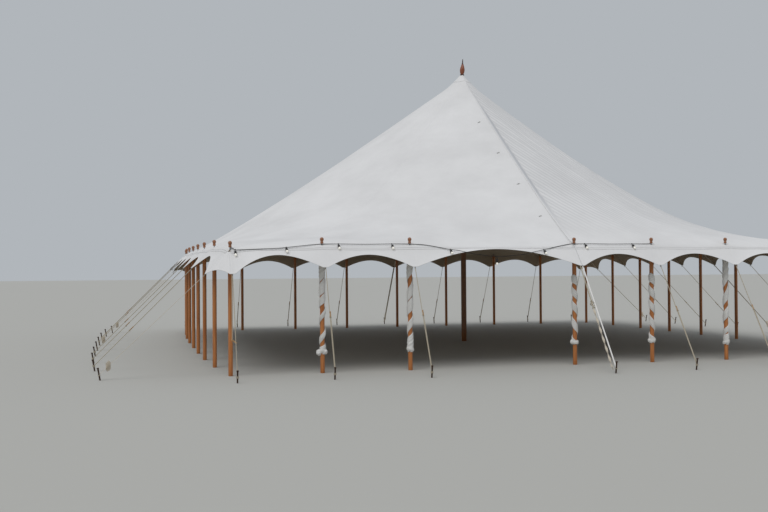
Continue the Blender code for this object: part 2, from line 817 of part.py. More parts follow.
def build_festoon(finish):
    """The cable of the lamps from knob to knob, joined with its lampholders and lamps."""
    path = cable_path()
    builder = bmesh.new()
    rings = []
    for step, point in enumerate(path):
        before = path[max(step - 1, 0)]
        after = path[min(step + 1, len(path) - 1)]
        run = (after - before).normalized()
        rings.append(circle_ring(builder, point, run, CABLE_RADIUS, CABLE_SIDES))
    join_rings(builder, rings)
    string = make_object("festoon_string", builder, finish)
    lamps = bmesh.new()
    for place in LAMP_PLACES:
        along = place * BAY
        for start, end in zip(path[:-1], path[1:]):
            if start.x <= along <= end.x:
                break
        top = start.lerp(end, (along - start.x) / (end.x - start.x))
        axis = lamp_axis(along, top)
        rings = []
        for radius, distance in LAMP_PROFILE:
            rings.append(circle_ring(lamps, top + axis * distance, axis, radius, CABLE_SIDES))
        join_rings(lamps, rings)
    operand = make_object("lamps", lamps, finish, smooth=False)
    operand.hide_render = True
    operand.display_type = "WIRE"
    union = string.modifiers.new("lamps", "BOOLEAN")
    union.operation = "UNION"
    union.solver = "EXACT"
    union.object = operand


def main():
    clear_scene()
    canvas = make_material("white_canvas", (0.78, 0.78, 0.75), 0.85)
    flap_canvas = make_material("flap_canvas", (0.70, 0.70, 0.67), 0.85)
    pole_wood = make_material("varnished_wood", (0.42, 0.17, 0.05), 0.45)
    king_wood = make_material("king_pole_wood", (0.36, 0.17, 0.07), 0.45)
    knob_wood = make_material("red_brown_wood", (0.24, 0.06, 0.03), 0.4)
    rope = make_material("guy_webbing", (0.55, 0.53, 0.46), 0.9)
    steel = make_material("zinc_plated_steel", (0.45, 0.45, 0.45), 0.45, 1.0)
    voile = make_material("white_voile", (0.80, 0.79, 0.76), 0.9)
    rubber = make_material("festoon_rubber", (0.03, 0.03, 0.03), 0.6)
    build_roof(canvas)
    build_petals(canvas)
    flap_band("lacing_flap_front", -1, flap_canvas)
    flap_band("lacing_flap_back", 1, flap_canvas)
    build_poles(pole_wood)
    build_king(king_wood, steel, knob_wood)
    build_rigging(rope)
    build_wraps(voile)
    build_festoon(rubber)


main()
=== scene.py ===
"""Square pole marquee with a petal eave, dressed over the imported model.

Metres, +Z up, the front with the doorway faces -Y. Run as a script: every
operator builds one group of pieces on the frame, and main() calls them in order.
"""

import math

import bmesh
import bpy
from bpy.props import FloatProperty, FloatVectorProperty, PointerProperty
from mathutils import Matrix, Vector, noise


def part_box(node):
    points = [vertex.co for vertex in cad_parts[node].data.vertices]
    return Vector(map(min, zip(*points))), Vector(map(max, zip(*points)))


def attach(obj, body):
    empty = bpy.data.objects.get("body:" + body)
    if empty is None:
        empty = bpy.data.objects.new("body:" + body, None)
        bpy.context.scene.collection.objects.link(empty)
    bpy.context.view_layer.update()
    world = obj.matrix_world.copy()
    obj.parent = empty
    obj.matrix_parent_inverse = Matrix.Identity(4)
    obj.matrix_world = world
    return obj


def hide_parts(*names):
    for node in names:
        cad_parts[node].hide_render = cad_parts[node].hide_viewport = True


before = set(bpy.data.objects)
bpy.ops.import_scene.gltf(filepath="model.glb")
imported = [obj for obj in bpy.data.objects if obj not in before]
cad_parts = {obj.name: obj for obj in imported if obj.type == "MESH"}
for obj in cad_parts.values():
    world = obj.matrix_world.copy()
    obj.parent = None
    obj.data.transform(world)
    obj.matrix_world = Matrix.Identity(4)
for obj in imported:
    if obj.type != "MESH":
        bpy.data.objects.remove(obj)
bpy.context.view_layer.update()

bl_info = {
    "name": "Pole marquee",
    "version": (1, 0, 0),
    "blender": (4, 5, 0),
    "location": "View3D > Sidebar > Marquee",
    "description": "Builds a laced canvas pole marquee over its packed frame",
    "category": "Add Mesh",
}


def middle(node):
    """Middle of a node's box."""
    low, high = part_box(node)
    return (Vector(low) + Vector(high)) / 2


# Plan and heights, from the frame where a box gives them
HALF = middle("pole_back_0").x
HALF_BAYS = 4
BAY = HALF / HALF_BAYS
CROWN_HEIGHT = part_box("crown_ring")[1][2]
CROWN_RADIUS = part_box("crown_ring")[1][0] + 0.0006
EAVE_HEIGHT = 2.14
SIDE_NAMES = ("front", "right", "back", "left")
DOORWAY_POLE = -1
CORNER_EAVE_DROP = 0.06
SIDE_BOW = 0.22
BOW_POWER = 3.2

# Form of the roof, as the CAD has it
ROOF_POWER = 1.08
CORNER_SPREAD = 12.0
CORNER_SHARPNESS = 80.0
HIP_SAG = 0.035
CROWN_SHARE = 0.07
EAVE_LIP = 0.05
EAVE_SAG = 0.02

# Ripples of the right half: the way across them in plan, as degrees from +X and as a
# direction, and the lengths of their two waves
RIPPLE_TURN = 38.7
RIPPLE_WAY = (0.78, 0.625)
RIPPLE_WAVES = (0.19, 0.43)
# Broad folds of the left half: way from the crown and width in degrees, and height
FOLDS = ((190, 6, 0.016), (203, 5, 0.014), (215, 4, 0.018), (228, 5, 0.014), (143, 6, 0.014),
         (160, 6, 0.014))
# Ends in plan of the slack fold that runs up from the second pole left of the doorway
SLACK_FOLD = ((-3.07, -5.80), (-3.26, -3.7))
# Edges of the flap across the lacing, and the bore of the crown ring
FLAP_EDGES = (-0.030, 0.100)
RING_BORE = 0.0126

# Form of the petals, as the CAD has it
TIP_OUT = {"front": 0.345, "back": 0.345, "left": 0.41, "right": 0.41}
CORNER_TIP_OUT = 0.41
TIP_DROP = 0.378
CORNER_TIP_DROP = 0.475
TIP_FLAT = 0.045
ARC = (0.20, 0.17)
DOORWAY_ARC = (0.17, 0.08)
CORNER_ARC_RISE = 0.065
ARC_POWER = 1.9
# Share of the way from the seam to the edge where the hem begins
HEM_START = 0.93

# Poles, guys and stakes, as the CAD has them
PIN_RADIUS = 0.008
PIN_SHOWING = 0.022
KNOB_HEIGHT = 0.105
KNOB_CENTRE = 0.0715
END_GUY_RUNS = (1.06, 1.03, 1.24, 1.24, 1.54, 1.46, 1.40, 1.40, 1.40)
SIDE_GUY_RUN = 2.05
STAKE_HEIGHT = 0.20
STAKE_LEAN = 0.035
STAKE_HOLD = 0.09

# Route of the lamp cable: bays from the middle pole, metres out of the pole line and
# metres above the canvas at the poles, as in the CAD
CABLE_ROUTE = (
    (-4.0, -0.0125, -0.045), (-3.986, -0.006, -0.043), (-3.97, 0.02, -0.056),
    (-3.95, 0.061, -0.080), (-3.845, 0.060, -0.078), (-3.74, 0.066, -0.072),
    (-3.635, 0.078, -0.066), (-3.524, 0.082, -0.061), (-3.406, 0.06, -0.045),
    (-3.248, 0.028, -0.020), (-3.123, 0.008, 0.0), (-3.03, -0.008, 0.011),
    (-3.0, -0.0125, 0.013), (-2.81, -0.008, 0.015), (-2.5, -0.008, 0.009),
    (-2.2, -0.008, 0.015), (-2.03, -0.010, 0.014), (-2.0, -0.0125, 0.013),
    (-1.955, -0.006, 0.010), (-1.84, 0.012, 0.0), (-1.71, 0.05, -0.033),
    (-1.575, 0.112, -0.078), (-1.476, 0.178, -0.100), (-1.41, 0.214, -0.122),
    (-1.345, 0.216, -0.145), (-1.214, 0.212, -0.178), (-1.017, 0.212, -0.210),
    (-0.853, 0.211, -0.197), (-0.69, 0.208, -0.174), (-0.577, 0.218, -0.137),
    (-0.472, 0.160, -0.108), (-0.361, 0.105, -0.076), (-0.249, 0.058, -0.042),
    (-0.131, 0.020, -0.008), (-0.04, -0.008, 0.011), (0.0, -0.0125, 0.013),
    (0.2, -0.009, 0.014), (0.5, -0.008, 0.009), (0.755, -0.008, 0.012),
    (0.95, -0.010, 0.012), (1.0, -0.0125, 0.013))
CABLE_POINTS = 161
LAMP_PLACES = (-3.95, -3.40, -2.815, -2.206, -1.55, -1.011, -0.42, 0.138, 0.748)
LAMP_LIFT = 0.040
LAMP_LENGTH = 0.158
# A piece on a cord may reach 0.15 m from it, so the lamps are drawn a little shorter
LAMP_SCALE = 0.94

# Camera fitted to the poles and petals: place, heading, pitch and roll in degrees, lens in mm
CAMERA_PLACE = (-7.69, -22.53, 1.748)
CAMERA_HEADING = (0.247, 0.969)
CAMERA_PITCH = 0.68
CAMERA_ROLL = 0.4
CAMERA_LENS = 46.83

# Light matched to the photo: strength of the sun, its spread and its two turns in degrees
SUN_ENERGY = 1.30
SUN_SPREAD = 45.0
SUN_TURNS = (24.0, -22.0)

UP = Vector((0.0, 0.0, 1.0))
TUBE_SIDES = 10


def linear(hex_code):
    """Linear colour of an sRGB hex value."""
    shares = [int(hex_code[start:start + 2], 16) / 255 for start in (1, 3, 5)]
    return tuple(share / 12.92 if share <= 0.04045 else ((share + 0.055) / 1.055) ** 2.4
                 for share in shares)


def colour(name, description, hex_code):
    """A colour property with its default given as an sRGB hex value."""
    return FloatVectorProperty(name=name, description=description, subtype="COLOR",
                               default=linear(hex_code), min=0.0, max=1.0)


def length(name, description, default):
    """A length property in metres."""
    return FloatProperty(name=name, description=description, default=default, min=0.0,
                         unit="LENGTH", subtype="DISTANCE")


class MarqueeCanvas(bpy.types.PropertyGroup):
    """Canvas of the roof and the petals."""
    canvas: colour("Canvas", "Outer face of the canvas", "#E3E1E0")
    dust: colour("Dust", "Greyer patches of the canvas", "#D8D6D5")
    # The underside's dark warm colour is painted shade of the inside of the tent
    underside: colour("Underside", "Inner face of the canvas, in a warmer cloth", "#9C8C76")
    thickness: length("Thickness", "Thickness of the canvas", 0.002)
    ripple: length("Ripple", "Height of the ripples beside the lacing", 0.009)
    hem: length("Hem", "How far the hem along the petals' edge stands proud", 0.0015)
    fullness: length("Fullness", "How far the left half stands fuller than the plain form", 0.045)
    step: length("Lacing step", "How far the left half stands above the right one", 0.034)


class MarqueeTimber(bpy.types.PropertyGroup):
    """Poles, knobs and the finial."""
    pole: colour("Pole", "Varnished softwood of the side poles", "#C68046")
    pole_dark: colour("Pole grain", "Darker grain of the side poles", "#9C5A2A")
    king: colour("King pole", "Varnished wood of the king pole", "#8F5A30")
    knob: colour("Knob", "Turned knobs over the canvas", "#9C6644")
    finial: colour("Finial", "Turned finial on the crown", "#9A5638")
    pole_radius: length("Pole radius", "Radius of a side pole", 0.0375)
    knob_radius: length("Knob radius", "Radius of a knob's ball", 0.033)


class MarqueeRigging(bpy.types.PropertyGroup):
    """Guys, straps, runners and stakes."""
    rope: colour("Rope", "Weathered three-strand rope", "#B9AE98")
    webbing: colour("Webbing", "White webbing of the straps", "#CDC2B0")
    stake: colour("Stake", "Dark steel of the stakes", "#3A322C")
    runner: colour("Runner", "Wooden runners of the guys", "#B08A5E")
    rope_radius: length("Rope radius", "Radius of the ropes", 0.006)
    strap_width: length("Strap width", "Width of the webbing straps", 0.05)


class MarqueeDressing(bpy.types.PropertyGroup):
    """Voile round the front poles and the string of lamps."""
    voile: colour("Voile", "White voile wound round the front poles", "#DEDCD8")
    cable: colour("Cable", "Black rubber of the cable and the lampholders", "#15110F")
    lamp: colour("Lamp", "Opal glass of the lamps", "#EEEAE0")
    cable_radius: length("Cable radius", "Radius of the lamp cable", 0.005)


class MarqueeStage(bpy.types.PropertyGroup):
    """Floor and light."""
    floor: colour("Floor", "Plain pale floor", "#B9B7B1")
    sky: colour("Sky", "Even light from all round", "#B1B6BB")


SETTINGS = (("marquee_canvas", MarqueeCanvas), ("marquee_timber", MarqueeTimber),
            ("marquee_rigging", MarqueeRigging), ("marquee_dressing", MarqueeDressing),
            ("marquee_stage", MarqueeStage))


def mix(low, high, share):
    """Linear mix of two values."""
    return low + (high - low) * share


def ease(value, low, high):
    """Smooth step from 0 at low to 1 at high."""
    share = min(1.0, max(0.0, (value - low) / (high - low)))
    return share * share * (3 - 2 * share)


def add_node(tree, kind, settings=None, values=None, links=None):
    """Add a node with its options, its socket values and its links."""
    node = tree.nodes.new(kind)
    for option, value in (settings or {}).items():
        setattr(node, option, value)
    for socket, value in (values or {}).items():
        node.inputs[socket].default_value = value
    for socket, source in (links or {}).items():
        tree.links.new(source, node.inputs[socket])
    return node


def new_material(name, **values):
    """A Principled material of the given values; returns it with its tree and shader node."""
    made = bpy.data.materials.new(name)
    made.use_nodes = True
    shader = made.node_tree.nodes["Principled BSDF"]
    for socket, value in values.items():
        shader.inputs[socket.replace("_", " ").title()].default_value = value
    return made, made.node_tree, shader


def surface(tree, kind="Object"):
    """Coordinates that a pattern lies on."""
    return add_node(tree, "ShaderNodeTexCoord").outputs[kind]


def speckle(tree, place, scale, detail, **values):
    """Noise from 0 to 1 over the surface."""
    return add_node(tree, "ShaderNodeTexNoise", None, {"Scale": scale, "Detail": detail, **values},
                    {"Vector": place}).outputs["Fac"]


def ramp(tree, value, low, high, top=1.0, form="LINEAR"):
    """Rise from 0 at low to a top value at high, which may be the smaller one."""
    return add_node(tree, "ShaderNodeMapRange", {"interpolation_type": form},
                    {"From Min": low, "From Max": high, "To Max": top},
                    {"Value": value}).outputs[0]


def maths(tree, operation, *terms, clamp=False):
    """One step of arithmetic on sockets and numbers."""
    made = add_node(tree, "ShaderNodeMath", {"operation": operation, "use_clamp": clamp})
    for index, term in enumerate(terms):
        if isinstance(term, float):
            made.inputs[index].default_value = term
        else:
            tree.links.new(term, made.inputs[index])
    return made.outputs[0]


def tint(tree, shader, share, light, dark):
    """Blend the base colour from light, a colour or a socket, to dark."""
    shade = add_node(tree, "ShaderNodeMix", {"data_type": "RGBA"}, {7: (*dark, 1.0)}, {0: share})
    if isinstance(light, bpy.types.NodeSocket):
        tree.links.new(light, shade.inputs[6])
    else:
        shade.inputs[6].default_value = (*light, 1.0)
    tree.links.new(shade.outputs[2], shader.inputs["Base Color"])


def raise_grain(tree, shader, height, strength, distance=0.001):
    """Let a fine pattern stand up from the surface."""
    bump = add_node(tree, "ShaderNodeBump", None, {"Strength": strength, "Distance": distance},
                    {"Height": height})
    tree.links.new(bump.outputs[0], shader.inputs["Normal"])


def canvas_material(name, light, dark):
    """Proofed cotton canvas, plain woven: matt, with faint grey patches and a fine weave."""
    made, tree, shader = new_material(name, roughness=0.85)
    place = surface(tree)
    patches = speckle(tree, place, 0.9, 6.0, Roughness=0.6)
    tint(tree, shader, ramp(tree, patches, 0.35, 0.7), light, dark)
    # Threads lie 0.6 mm apart, too fine to show, so the weave is drawn 9 mm wide
    weave = speckle(tree, place, 110.0, 3.0)
    slack = speckle(tree, place, 7.0, 3.0)
    raise_grain(tree, shader, maths(tree, "MULTIPLY_ADD", slack, 3.0, weave), 0.25, 0.002)
    return made


def shaded_canvas(name, light, dark, kind):
    """A canvas material to shade further: with its tree, shader, colour and coordinates."""
    made = canvas_material(name, light, dark)
    tree = made.node_tree
    shader = tree.nodes["Principled BSDF"]
    place = surface(tree, kind)
    parts = add_node(tree, "ShaderNodeSeparateXYZ", links={"Vector": place}).outputs
    return made, tree, shader, shader.inputs["Base Color"].links[0].from_socket, place, parts


def painted_pucker_shade_material(name, light, dark):
    """Proofed cotton canvas with painted shade: grey lines along the ripples of the mesh stand in
    for the shade in the valleys of fine puckers.
    """
    made, tree, shader, bare, place, parts = shaded_canvas(name, light, dark, "Object")
    turn = add_node(tree, "ShaderNodeMapping", links={"Vector": place},
                    values={"Rotation": (0.0, 0.0, math.radians(-RIPPLE_TURN))})
    # A scale of 2.75 sets the painted pucker shade lines 114 mm apart, as the puckers are in the
    # photo
    share = add_node(tree, "ShaderNodeTexWave", {"bands_direction": "X"},
                     {"Scale": 2.75, "Distortion": 2.6, "Detail": 1.0, "Detail Scale": 0.5},
                     {"Vector": turn.outputs["Vector"]}).outputs["Fac"]
    # The painted shade lines fade out to the right, behind the crown and towards the eave
    for part, low, high, top in ((0, 9.0, 2.5, 0.36), (1, 0.4, -0.6, 1.0), (2, 2.2, 2.9, 1.0)):
        mask = ramp(tree, parts[part], low, high, top, "SMOOTHSTEP")
        share = maths(tree, "MULTIPLY", share, mask)
    # Painted shade: the canvas turns grey where the pucker valleys lie
    tint(tree, shader, share, bare, linear("#B4B5B7"))
    return made


def flap_painted_shade_material(name, light, dark):
    """Proofed cotton canvas gathered by its lacing, with painted shade: greyer along the middle of
    the flap, for the step from the left half down to the right one.
    """
    made, tree, shader, bare, _place, parts = shaded_canvas(name, light, dark, "UV")
    # The painted shade fades at both edges of the flap, then at both of its ends
    masks = [ramp(tree, parts[part], low, high, 1.0, "SMOOTHSTEP")
             for part, low, high in ((0, 0.004, 0.040), (0, 0.120, 0.095), (1, 0.3, 2.2),
                                     (1, 7.2, 5.0))]
    share = masks[0]
    for mask in masks[1:]:
        share = maths(tree, "MULTIPLY", share, mask)
    # Painted shade: grey over the middle of the flap
    tint(tree, shader, share, bare, linear("#C4C4C6"))
    return made


def wood_material(name, light, dark, roughness=0.38):
    """Turned softwood under satin varnish: long grain along the pole and a soft gloss."""
    made, tree, shader = new_material(name, roughness=roughness)
    place = surface(tree)
    # Growth rings are 3 mm wide and show as streaks a few hundred millimetres long
    along = add_node(tree, "ShaderNodeMapping", values={"Scale": (90.0, 90.0, 2.4)},
                     links={"Vector": place})
    grain = speckle(tree, along.outputs[0], 1.0, 5.0, Distortion=0.6)
    tone = speckle(tree, place, 1.3, 2.0)
    share = maths(tree, "MULTIPLY", ramp(tree, grain, 0.32, 0.68), tone)
    tint(tree, shader, maths(tree, "MULTIPLY", share, 1.9, clamp=True), light, dark)
    raise_grain(tree, shader, grain, 0.15)
    return made


def metal_material(name, light, dark, roughness=0.45, metallic=1.0):
    """Hot-dip zinc or forged steel: a mottled skin with a broad soft gloss."""
    made, tree, shader = new_material(name, roughness=roughness, metallic=metallic)
    # Spangles and rust spots are about 8 mm across
    spots = speckle(tree, surface(tree), 120.0, 4.0)
    tint(tree, shader, ramp(tree, spots, 0.4, 0.65), light, dark)
    raise_grain(tree, shader, spots, 0.3)
    return made


def woven_material(name, light, dark, cycles, strength=0.5):
    """Cloth or cord with ribs: cycles are the ribs per metre along and across its UV map."""
    made, tree, shader = new_material(name, roughness=0.9, sheen_weight=0.15)
    place = surface(tree, "UV")
    # A wave texture of scale 1 has a rib every 0.6283 units
    spaced = add_node(tree, "ShaderNodeMapping", links={"Vector": place},
                      values={"Scale": (0.6283 * cycles[0], 0.6283 * cycles[1], 0.0)})
    ribs = add_node(tree, "ShaderNodeTexWave", {"bands_direction": "DIAGONAL"},
                    {"Scale": 1.0, "Distortion": 0.4, "Detail": 2.0},
                    {"Vector": spaced.outputs[0]}).outputs["Fac"]
    fibres = speckle(tree, place, 60.0, 4.0)
    tint(tree, shader, maths(tree, "MULTIPLY_ADD", ribs, -0.45, fibres, clamp=True), light, dark)
    raise_grain(tree, shader, maths(tree, "ADD", fibres, ribs), strength)
    return made


def plain_material(name, shade, roughness, scale=400.0, **values):
    """Moulded rubber or opal glass: one colour with a faint grain in its gloss."""
    made, tree, shader = new_material(name, roughness=roughness, **values)
    shader.inputs["Base Color"].default_value = (*shade, 1.0)
    raise_grain(tree, shader, speckle(tree, surface(tree), scale, 2.0), 0.1, 0.0005)
    return made


def darker(shade, share):
    """A share of a colour, for the dark part of a pattern."""
    return tuple(part * share for part in shade)


def canvas_finishes():
    """The plain canvas and its underside, painted dark as shade, which the roof's operator makes.
    """
    return [bpy.data.materials[name] for name in ("woven_cotton_canvas", "canvas_underside_painted_shade")]


def new_object(name, data):
    """An object in the scene for a mesh, a curve, a light or a camera."""
    made = bpy.data.objects.new(name, data)
    bpy.context.scene.collection.objects.link(made)
    return made


def new_piece(name, builder, finishes, replaced=()):
    """Turn a bmesh into a finished piece that rides on the tent."""
    mesh = bpy.data.meshes.new(name)
    builder.to_mesh(mesh)
    builder.free()
    mesh.shade_smooth()
    mesh.set_sharp_from_angle(angle=math.radians(50.0))
    for finish in finishes:
        mesh.materials.append(finish)
    piece = new_object(name, mesh)
    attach(piece, "root")
    if replaced:
        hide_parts(*replaced)
    return piece


def sheet_grid(columns, rows, place, size):
    """A grid laid out by place(u, w), with its UV map in metres of the given size."""
    builder = bmesh.new()
    bmesh.ops.create_grid(builder, x_segments=columns, y_segments=rows, size=0.5)
    layer = builder.loops.layers.uv.new("UVMap")
    for face in builder.faces:
        for loop in face.loops:
            corner = loop.vert.co
            loop[layer].uv = ((corner.x + 0.5) * size[0], (corner.y + 0.5) * size[1])
    for vertex in builder.verts:
        vertex.co = place(vertex.co.x + 0.5, vertex.co.y + 0.5)
    return builder


def join(builder, other):
    """Add the faces of one bmesh to another."""
    spare = bpy.data.meshes.new("spare")
    other.to_mesh(spare)
    other.free()
    builder.from_mesh(spare)
    bpy.data.meshes.remove(spare)


def close_up(builder, distance, fill=False):
    """Merge points closer than a distance, fill open ends if asked and face all outwards."""
    bmesh.ops.remove_doubles(builder, verts=builder.verts, dist=distance)
    if fill:
        bmesh.ops.holes_fill(builder, edges=[edge for edge in builder.edges if edge.is_boundary])
    bmesh.ops.recalc_face_normals(builder, faces=builder.faces)
    return builder


def lathe(profile, centre, steps, closed=False):
    """Spin a chain of (radius, height) points round the upright line through a centre."""
    builder = bmesh.new()
    points = [builder.verts.new(centre + Vector((radius, 0.0, height)))
              for radius, height in profile]
    chain = points + points[:1] if closed else points
    edges = [builder.edges.new(pair) for pair in zip(chain[:-1], chain[1:])]
    bmesh.ops.spin(builder, geom=points + edges, cent=centre, axis=UP, angle=math.tau,
                   steps=steps, use_merge=True)
    return builder


def turned(profile, centre, steps, finishes=()):
    """A round solid spun from (radius, height) pairs that start and end on the axis.

    finishes are pairs of a height and the material slot from there up.
    """
    builder = close_up(lathe(profile, centre, steps), 0.00001)
    for face in builder.faces:
        height = face.calc_center_median().z - centre.z
        for low, index in finishes:
            if height > low:
                face.material_index = index
    return builder


def spun_ring(section, steps):
    """A ring spun from the (radius, height) corners of its section."""
    builder = lathe(section, Vector(), steps, closed=True)
    bmesh.ops.recalc_face_normals(builder, faces=builder.faces)
    return builder


def stand(builder, axis, centre):
    """Turn the upright axis of a solid to a direction and move it to a place."""
    turn = UP.rotation_difference(axis).to_matrix().to_4x4()
    bmesh.ops.transform(builder, matrix=Matrix.Translation(centre) @ turn, verts=builder.verts)
    return builder


def torus(centre, axis, radius, thick):
    """A round ring about an axis."""
    angles = [math.tau * step / 10 for step in range(10)]
    section = [(radius + thick * math.cos(angle), thick * math.sin(angle)) for angle in angles]
    return stand(spun_ring(section, 24), axis, centre)


def polar(radius, angle, height=0.0):
    """A point at a distance and an angle round the upright axis."""
    return Vector((radius * math.cos(angle), radius * math.sin(angle), height))


def heading(points, step):
    """Direction of a path at one of its points."""
    return (points[min(step + 1, len(points) - 1)] - points[max(step - 1, 0)]).normalized()


def path_length(points):
    """Length of a path."""
    return sum((after - before).length for before, after in zip(points[:-1], points[1:]))


def tube(points, radius):
    """A round tube along points, narrowed at both ends."""
    last = len(points) - 1
    frames = []
    for step in range(last + 1):
        run = heading(points, step)
        if step == 0:
            guide = UP if abs(run.z) < 0.9 else Vector((1.0, 0.0, 0.0))
        first = run.cross(guide).normalized()
        second = run.cross(first).normalized()
        guide = -second
        frames.append((first, second))

    def place(u, w):
        step = round(u * last)
        first, second = frames[step]
        angle = math.tau * w
        reach = radius * (0.55 if step in (0, last) else 1.0)
        return points[step] + (first * math.cos(angle) + second * math.sin(angle)) * reach

    size = (path_length(points), math.tau * radius)
    return close_up(sheet_grid(last, TUBE_SIDES, place, size), 0.000005, True)


def strap(points, across, width, turns=0.0, thickness=0.004):
    """A flat strap along points that lies across a direction, twisted by so many turns."""
    outline = ((-1.0, -0.6), (-1.0, 0.6), (-0.94, 1.0), (0.94, 1.0), (1.0, 0.6),
               (1.0, -0.6), (0.94, -1.0), (-0.94, -1.0))
    last = len(points) - 1

    def place(u, w):
        step = round(u * last)
        square = heading(points, step).cross(across).normalized()
        angle = math.tau * turns * step / last
        flat = across * math.cos(angle) + square * math.sin(angle)
        proud = square * math.cos(angle) - across * math.sin(angle)
        wide, high = outline[round(w * 8) % 8]
        return points[step] + flat * (width / 2 * wide) + proud * (thickness / 2 * high)

    return close_up(sheet_grid(last, 8, place, (path_length(points), width)), 0.00001, True)


def runner(centre, run, across):
    """A wooden slider of a guy: a waisted slat with rounded ends."""
    square = run.cross(across).normalized()

    def place(u, w):
        reach = (2 * u - 1)
        end = max(0.12, 1 - abs(reach) ** 7)
        wide = 0.017 * (0.72 + 0.28 * reach ** 2) * end ** 0.6
        thick = 0.0085 * end ** 0.6
        angle = math.tau * w
        offset = across * (wide * math.cos(angle)) + square * (thick * math.sin(angle))
        return centre + run * (0.056 * reach) + offset

    return close_up(sheet_grid(28, 16, place, (0.11, 0.09)), 0.00002, True)


def crumple(centre, size, seed):
    """A gathered puff of cloth: a rounded bunch with pleats that run from end to end."""
    def place(u, w):
        theta, phi = math.tau * u, math.pi * w
        way = Vector((math.sin(phi) * math.cos(theta), math.sin(phi) * math.sin(theta),
                      math.cos(phi)))
        drift = 3 * noise.noise(way * 1.5 + UP * seed)
        pleats = 0.10 * abs(math.sin(4 * theta + drift))
        lumps = 0.20 * noise.noise(way * 2.1 + Vector((seed, 0.0, 0.0)))
        reach = 0.86 + pleats * math.sin(phi) + lumps
        return centre + Vector([part * across for part, across in zip(way * reach, size)])

    return close_up(sheet_grid(40, 20, place, (2.0 * size[0], 2.0 * size[2])), 0.00005)


def smooth_path(points, count):
    """That many points on a Catmull-Rom curve through the given ones."""
    places = [points[0] * 2 - points[1]] + points + [points[-1] * 2 - points[-2]]
    spans = len(points) - 1
    path = []
    for step in range(count):
        position = step / (count - 1) * spans
        span = min(int(position), spans - 1)
        share = position - span
        before, start, end, after = places[span:span + 4]
        bend = (before * 2 - start * 5 + end * 4 - after) * share ** 2
        twist = (start * 3 - before - end * 3 + after) * share ** 3
        path.append((start * 2 + (end - before) * share + bend + twist) / 2)
    return path


def side_frame(side):
    """Unit vectors of a side: along it, seen from outside to the right, and out of it."""
    turn = SIDE_NAMES.index(side) * math.pi / 2
    along = Vector((round(math.cos(turn)), round(math.sin(turn)), 0.0))
    out = Vector((round(math.sin(turn)), -round(math.cos(turn)), 0.0))
    return along, out


def side_bow(side, along_distance):
    """How far the left and right pole lines bow outwards; the front and the back are straight."""
    share = abs(along_distance) / (HALF - TIP_FLAT)
    if side in ("front", "back") or share >= 1:
        return 0.0
    return SIDE_BOW * (1 - share ** BOW_POWER)


def side_point(side, along_distance, out_distance, height):
    """A point given by its place along a side, out of the pole line and up."""
    along, out = side_frame(side)
    reach = HALF + side_bow(side, along_distance) + out_distance
    point = along * along_distance + out * reach
    point.z = height
    return point


def guy_numbers(side):
    """Numbers of the poles that have a guy out of this side, counted from its middle."""
    numbers = list(range(-HALF_BAYS, HALF_BAYS + 1))
    if side == "front":
        numbers.remove(DOORWAY_POLE)
    return numbers


def tip_out(side, number):
    """How far the petal at a pole reaches out of the pole line."""
    return CORNER_TIP_OUT if abs(number) == HALF_BAYS else TIP_OUT[side]


def pole_eave(number):
    """Height of the canvas at a side pole; the corners stand a little lower."""
    return EAVE_HEIGHT - (CORNER_EAVE_DROP if abs(number) == HALF_BAYS else 0.0)


def tip_height(number):
    """Height of the petal's tip at a pole."""
    return EAVE_HEIGHT - (CORNER_TIP_DROP if abs(number) == HALF_BAYS else TIP_DROP)


def lip_height(side, number):
    """Canvas height at the eave seam beside a pole."""
    slope = (pole_eave(number) - tip_height(number)) / tip_out(side, number)
    return pole_eave(number) - slope * EAVE_LIP


def bay_share(side, along):
    """The poles at both ends of the bay and the share of the way between their petals' tips."""
    first = max(-HALF_BAYS, min(HALF_BAYS - 1, math.floor(along / BAY + 0.000001)))
    last = first + 1
    if side == "front" and first in (DOORWAY_POLE - 1, DOORWAY_POLE):
        first, last = DOORWAY_POLE - 1, DOORWAY_POLE + 1
    start, end = first * BAY, last * BAY
    share = (along - start - TIP_FLAT) / (end - start - 2 * TIP_FLAT)
    return first, last, min(1.0, max(0.0, share))


def petal_section(side, along):
    """Canvas height on the pole line and at the seam, the edge's reach and height there."""
    first, last, share = bay_share(side, along)
    arc_out, arc_drop = DOORWAY_ARC if last - first > 1 else ARC
    shape = abs(2 * share - 1) ** ARC_POWER
    line = mix(EAVE_HEIGHT - EAVE_SAG, mix(pole_eave(first), pole_eave(last), share), shape)
    pole_lip = mix(lip_height(side, first), lip_height(side, last), share)
    middle_lip = EAVE_HEIGHT - EAVE_SAG - arc_drop * EAVE_LIP / arc_out
    seam = mix(middle_lip, pole_lip, shape)
    reach = mix(tip_out(side, first), tip_out(side, last), share)
    tip = mix(tip_height(first), tip_height(last), share)
    edge_out = mix(arc_out, reach, shape)
    edge = mix(EAVE_HEIGHT - arc_drop, tip, shape)
    return line, seam, edge_out, edge


def contour_radius(share, angle):
    """Plan radius of the roof at a share of the way down: round above, square at the eave."""
    inverse = mix(0.5, 1 / CORNER_SHARPNESS, share ** CORNER_SPREAD)
    across = abs(math.cos(angle))
    deep = abs(math.sin(angle))
    largest = max(across, deep)
    norm = (across / largest) ** (1 / inverse) + (deep / largest) ** (1 / inverse)
    rounded = norm ** -inverse
    return HALF * share * mix(rounded, 1.0, ease(share, 0.93, 1.0)) / largest


ROOF_START = CROWN_RADIUS / HALF
# Stations round one half of the tent, in bays, with the number of columns up to each:
# closer near the lacing, where the ripples are
STATIONS = ((0.0, 0), (4.5, 92), (11.5, 136), (16.0, 200))
# Rows from the crown to the eave on the left half and on the rippled right half
ROOF_ROWS = {-1: 150, 1: 236}
# The photo's puckers, 114 mm apart, are finer than this grid can carry, so the finish paints their
# shade as grey lines
LIP_ROWS = 3


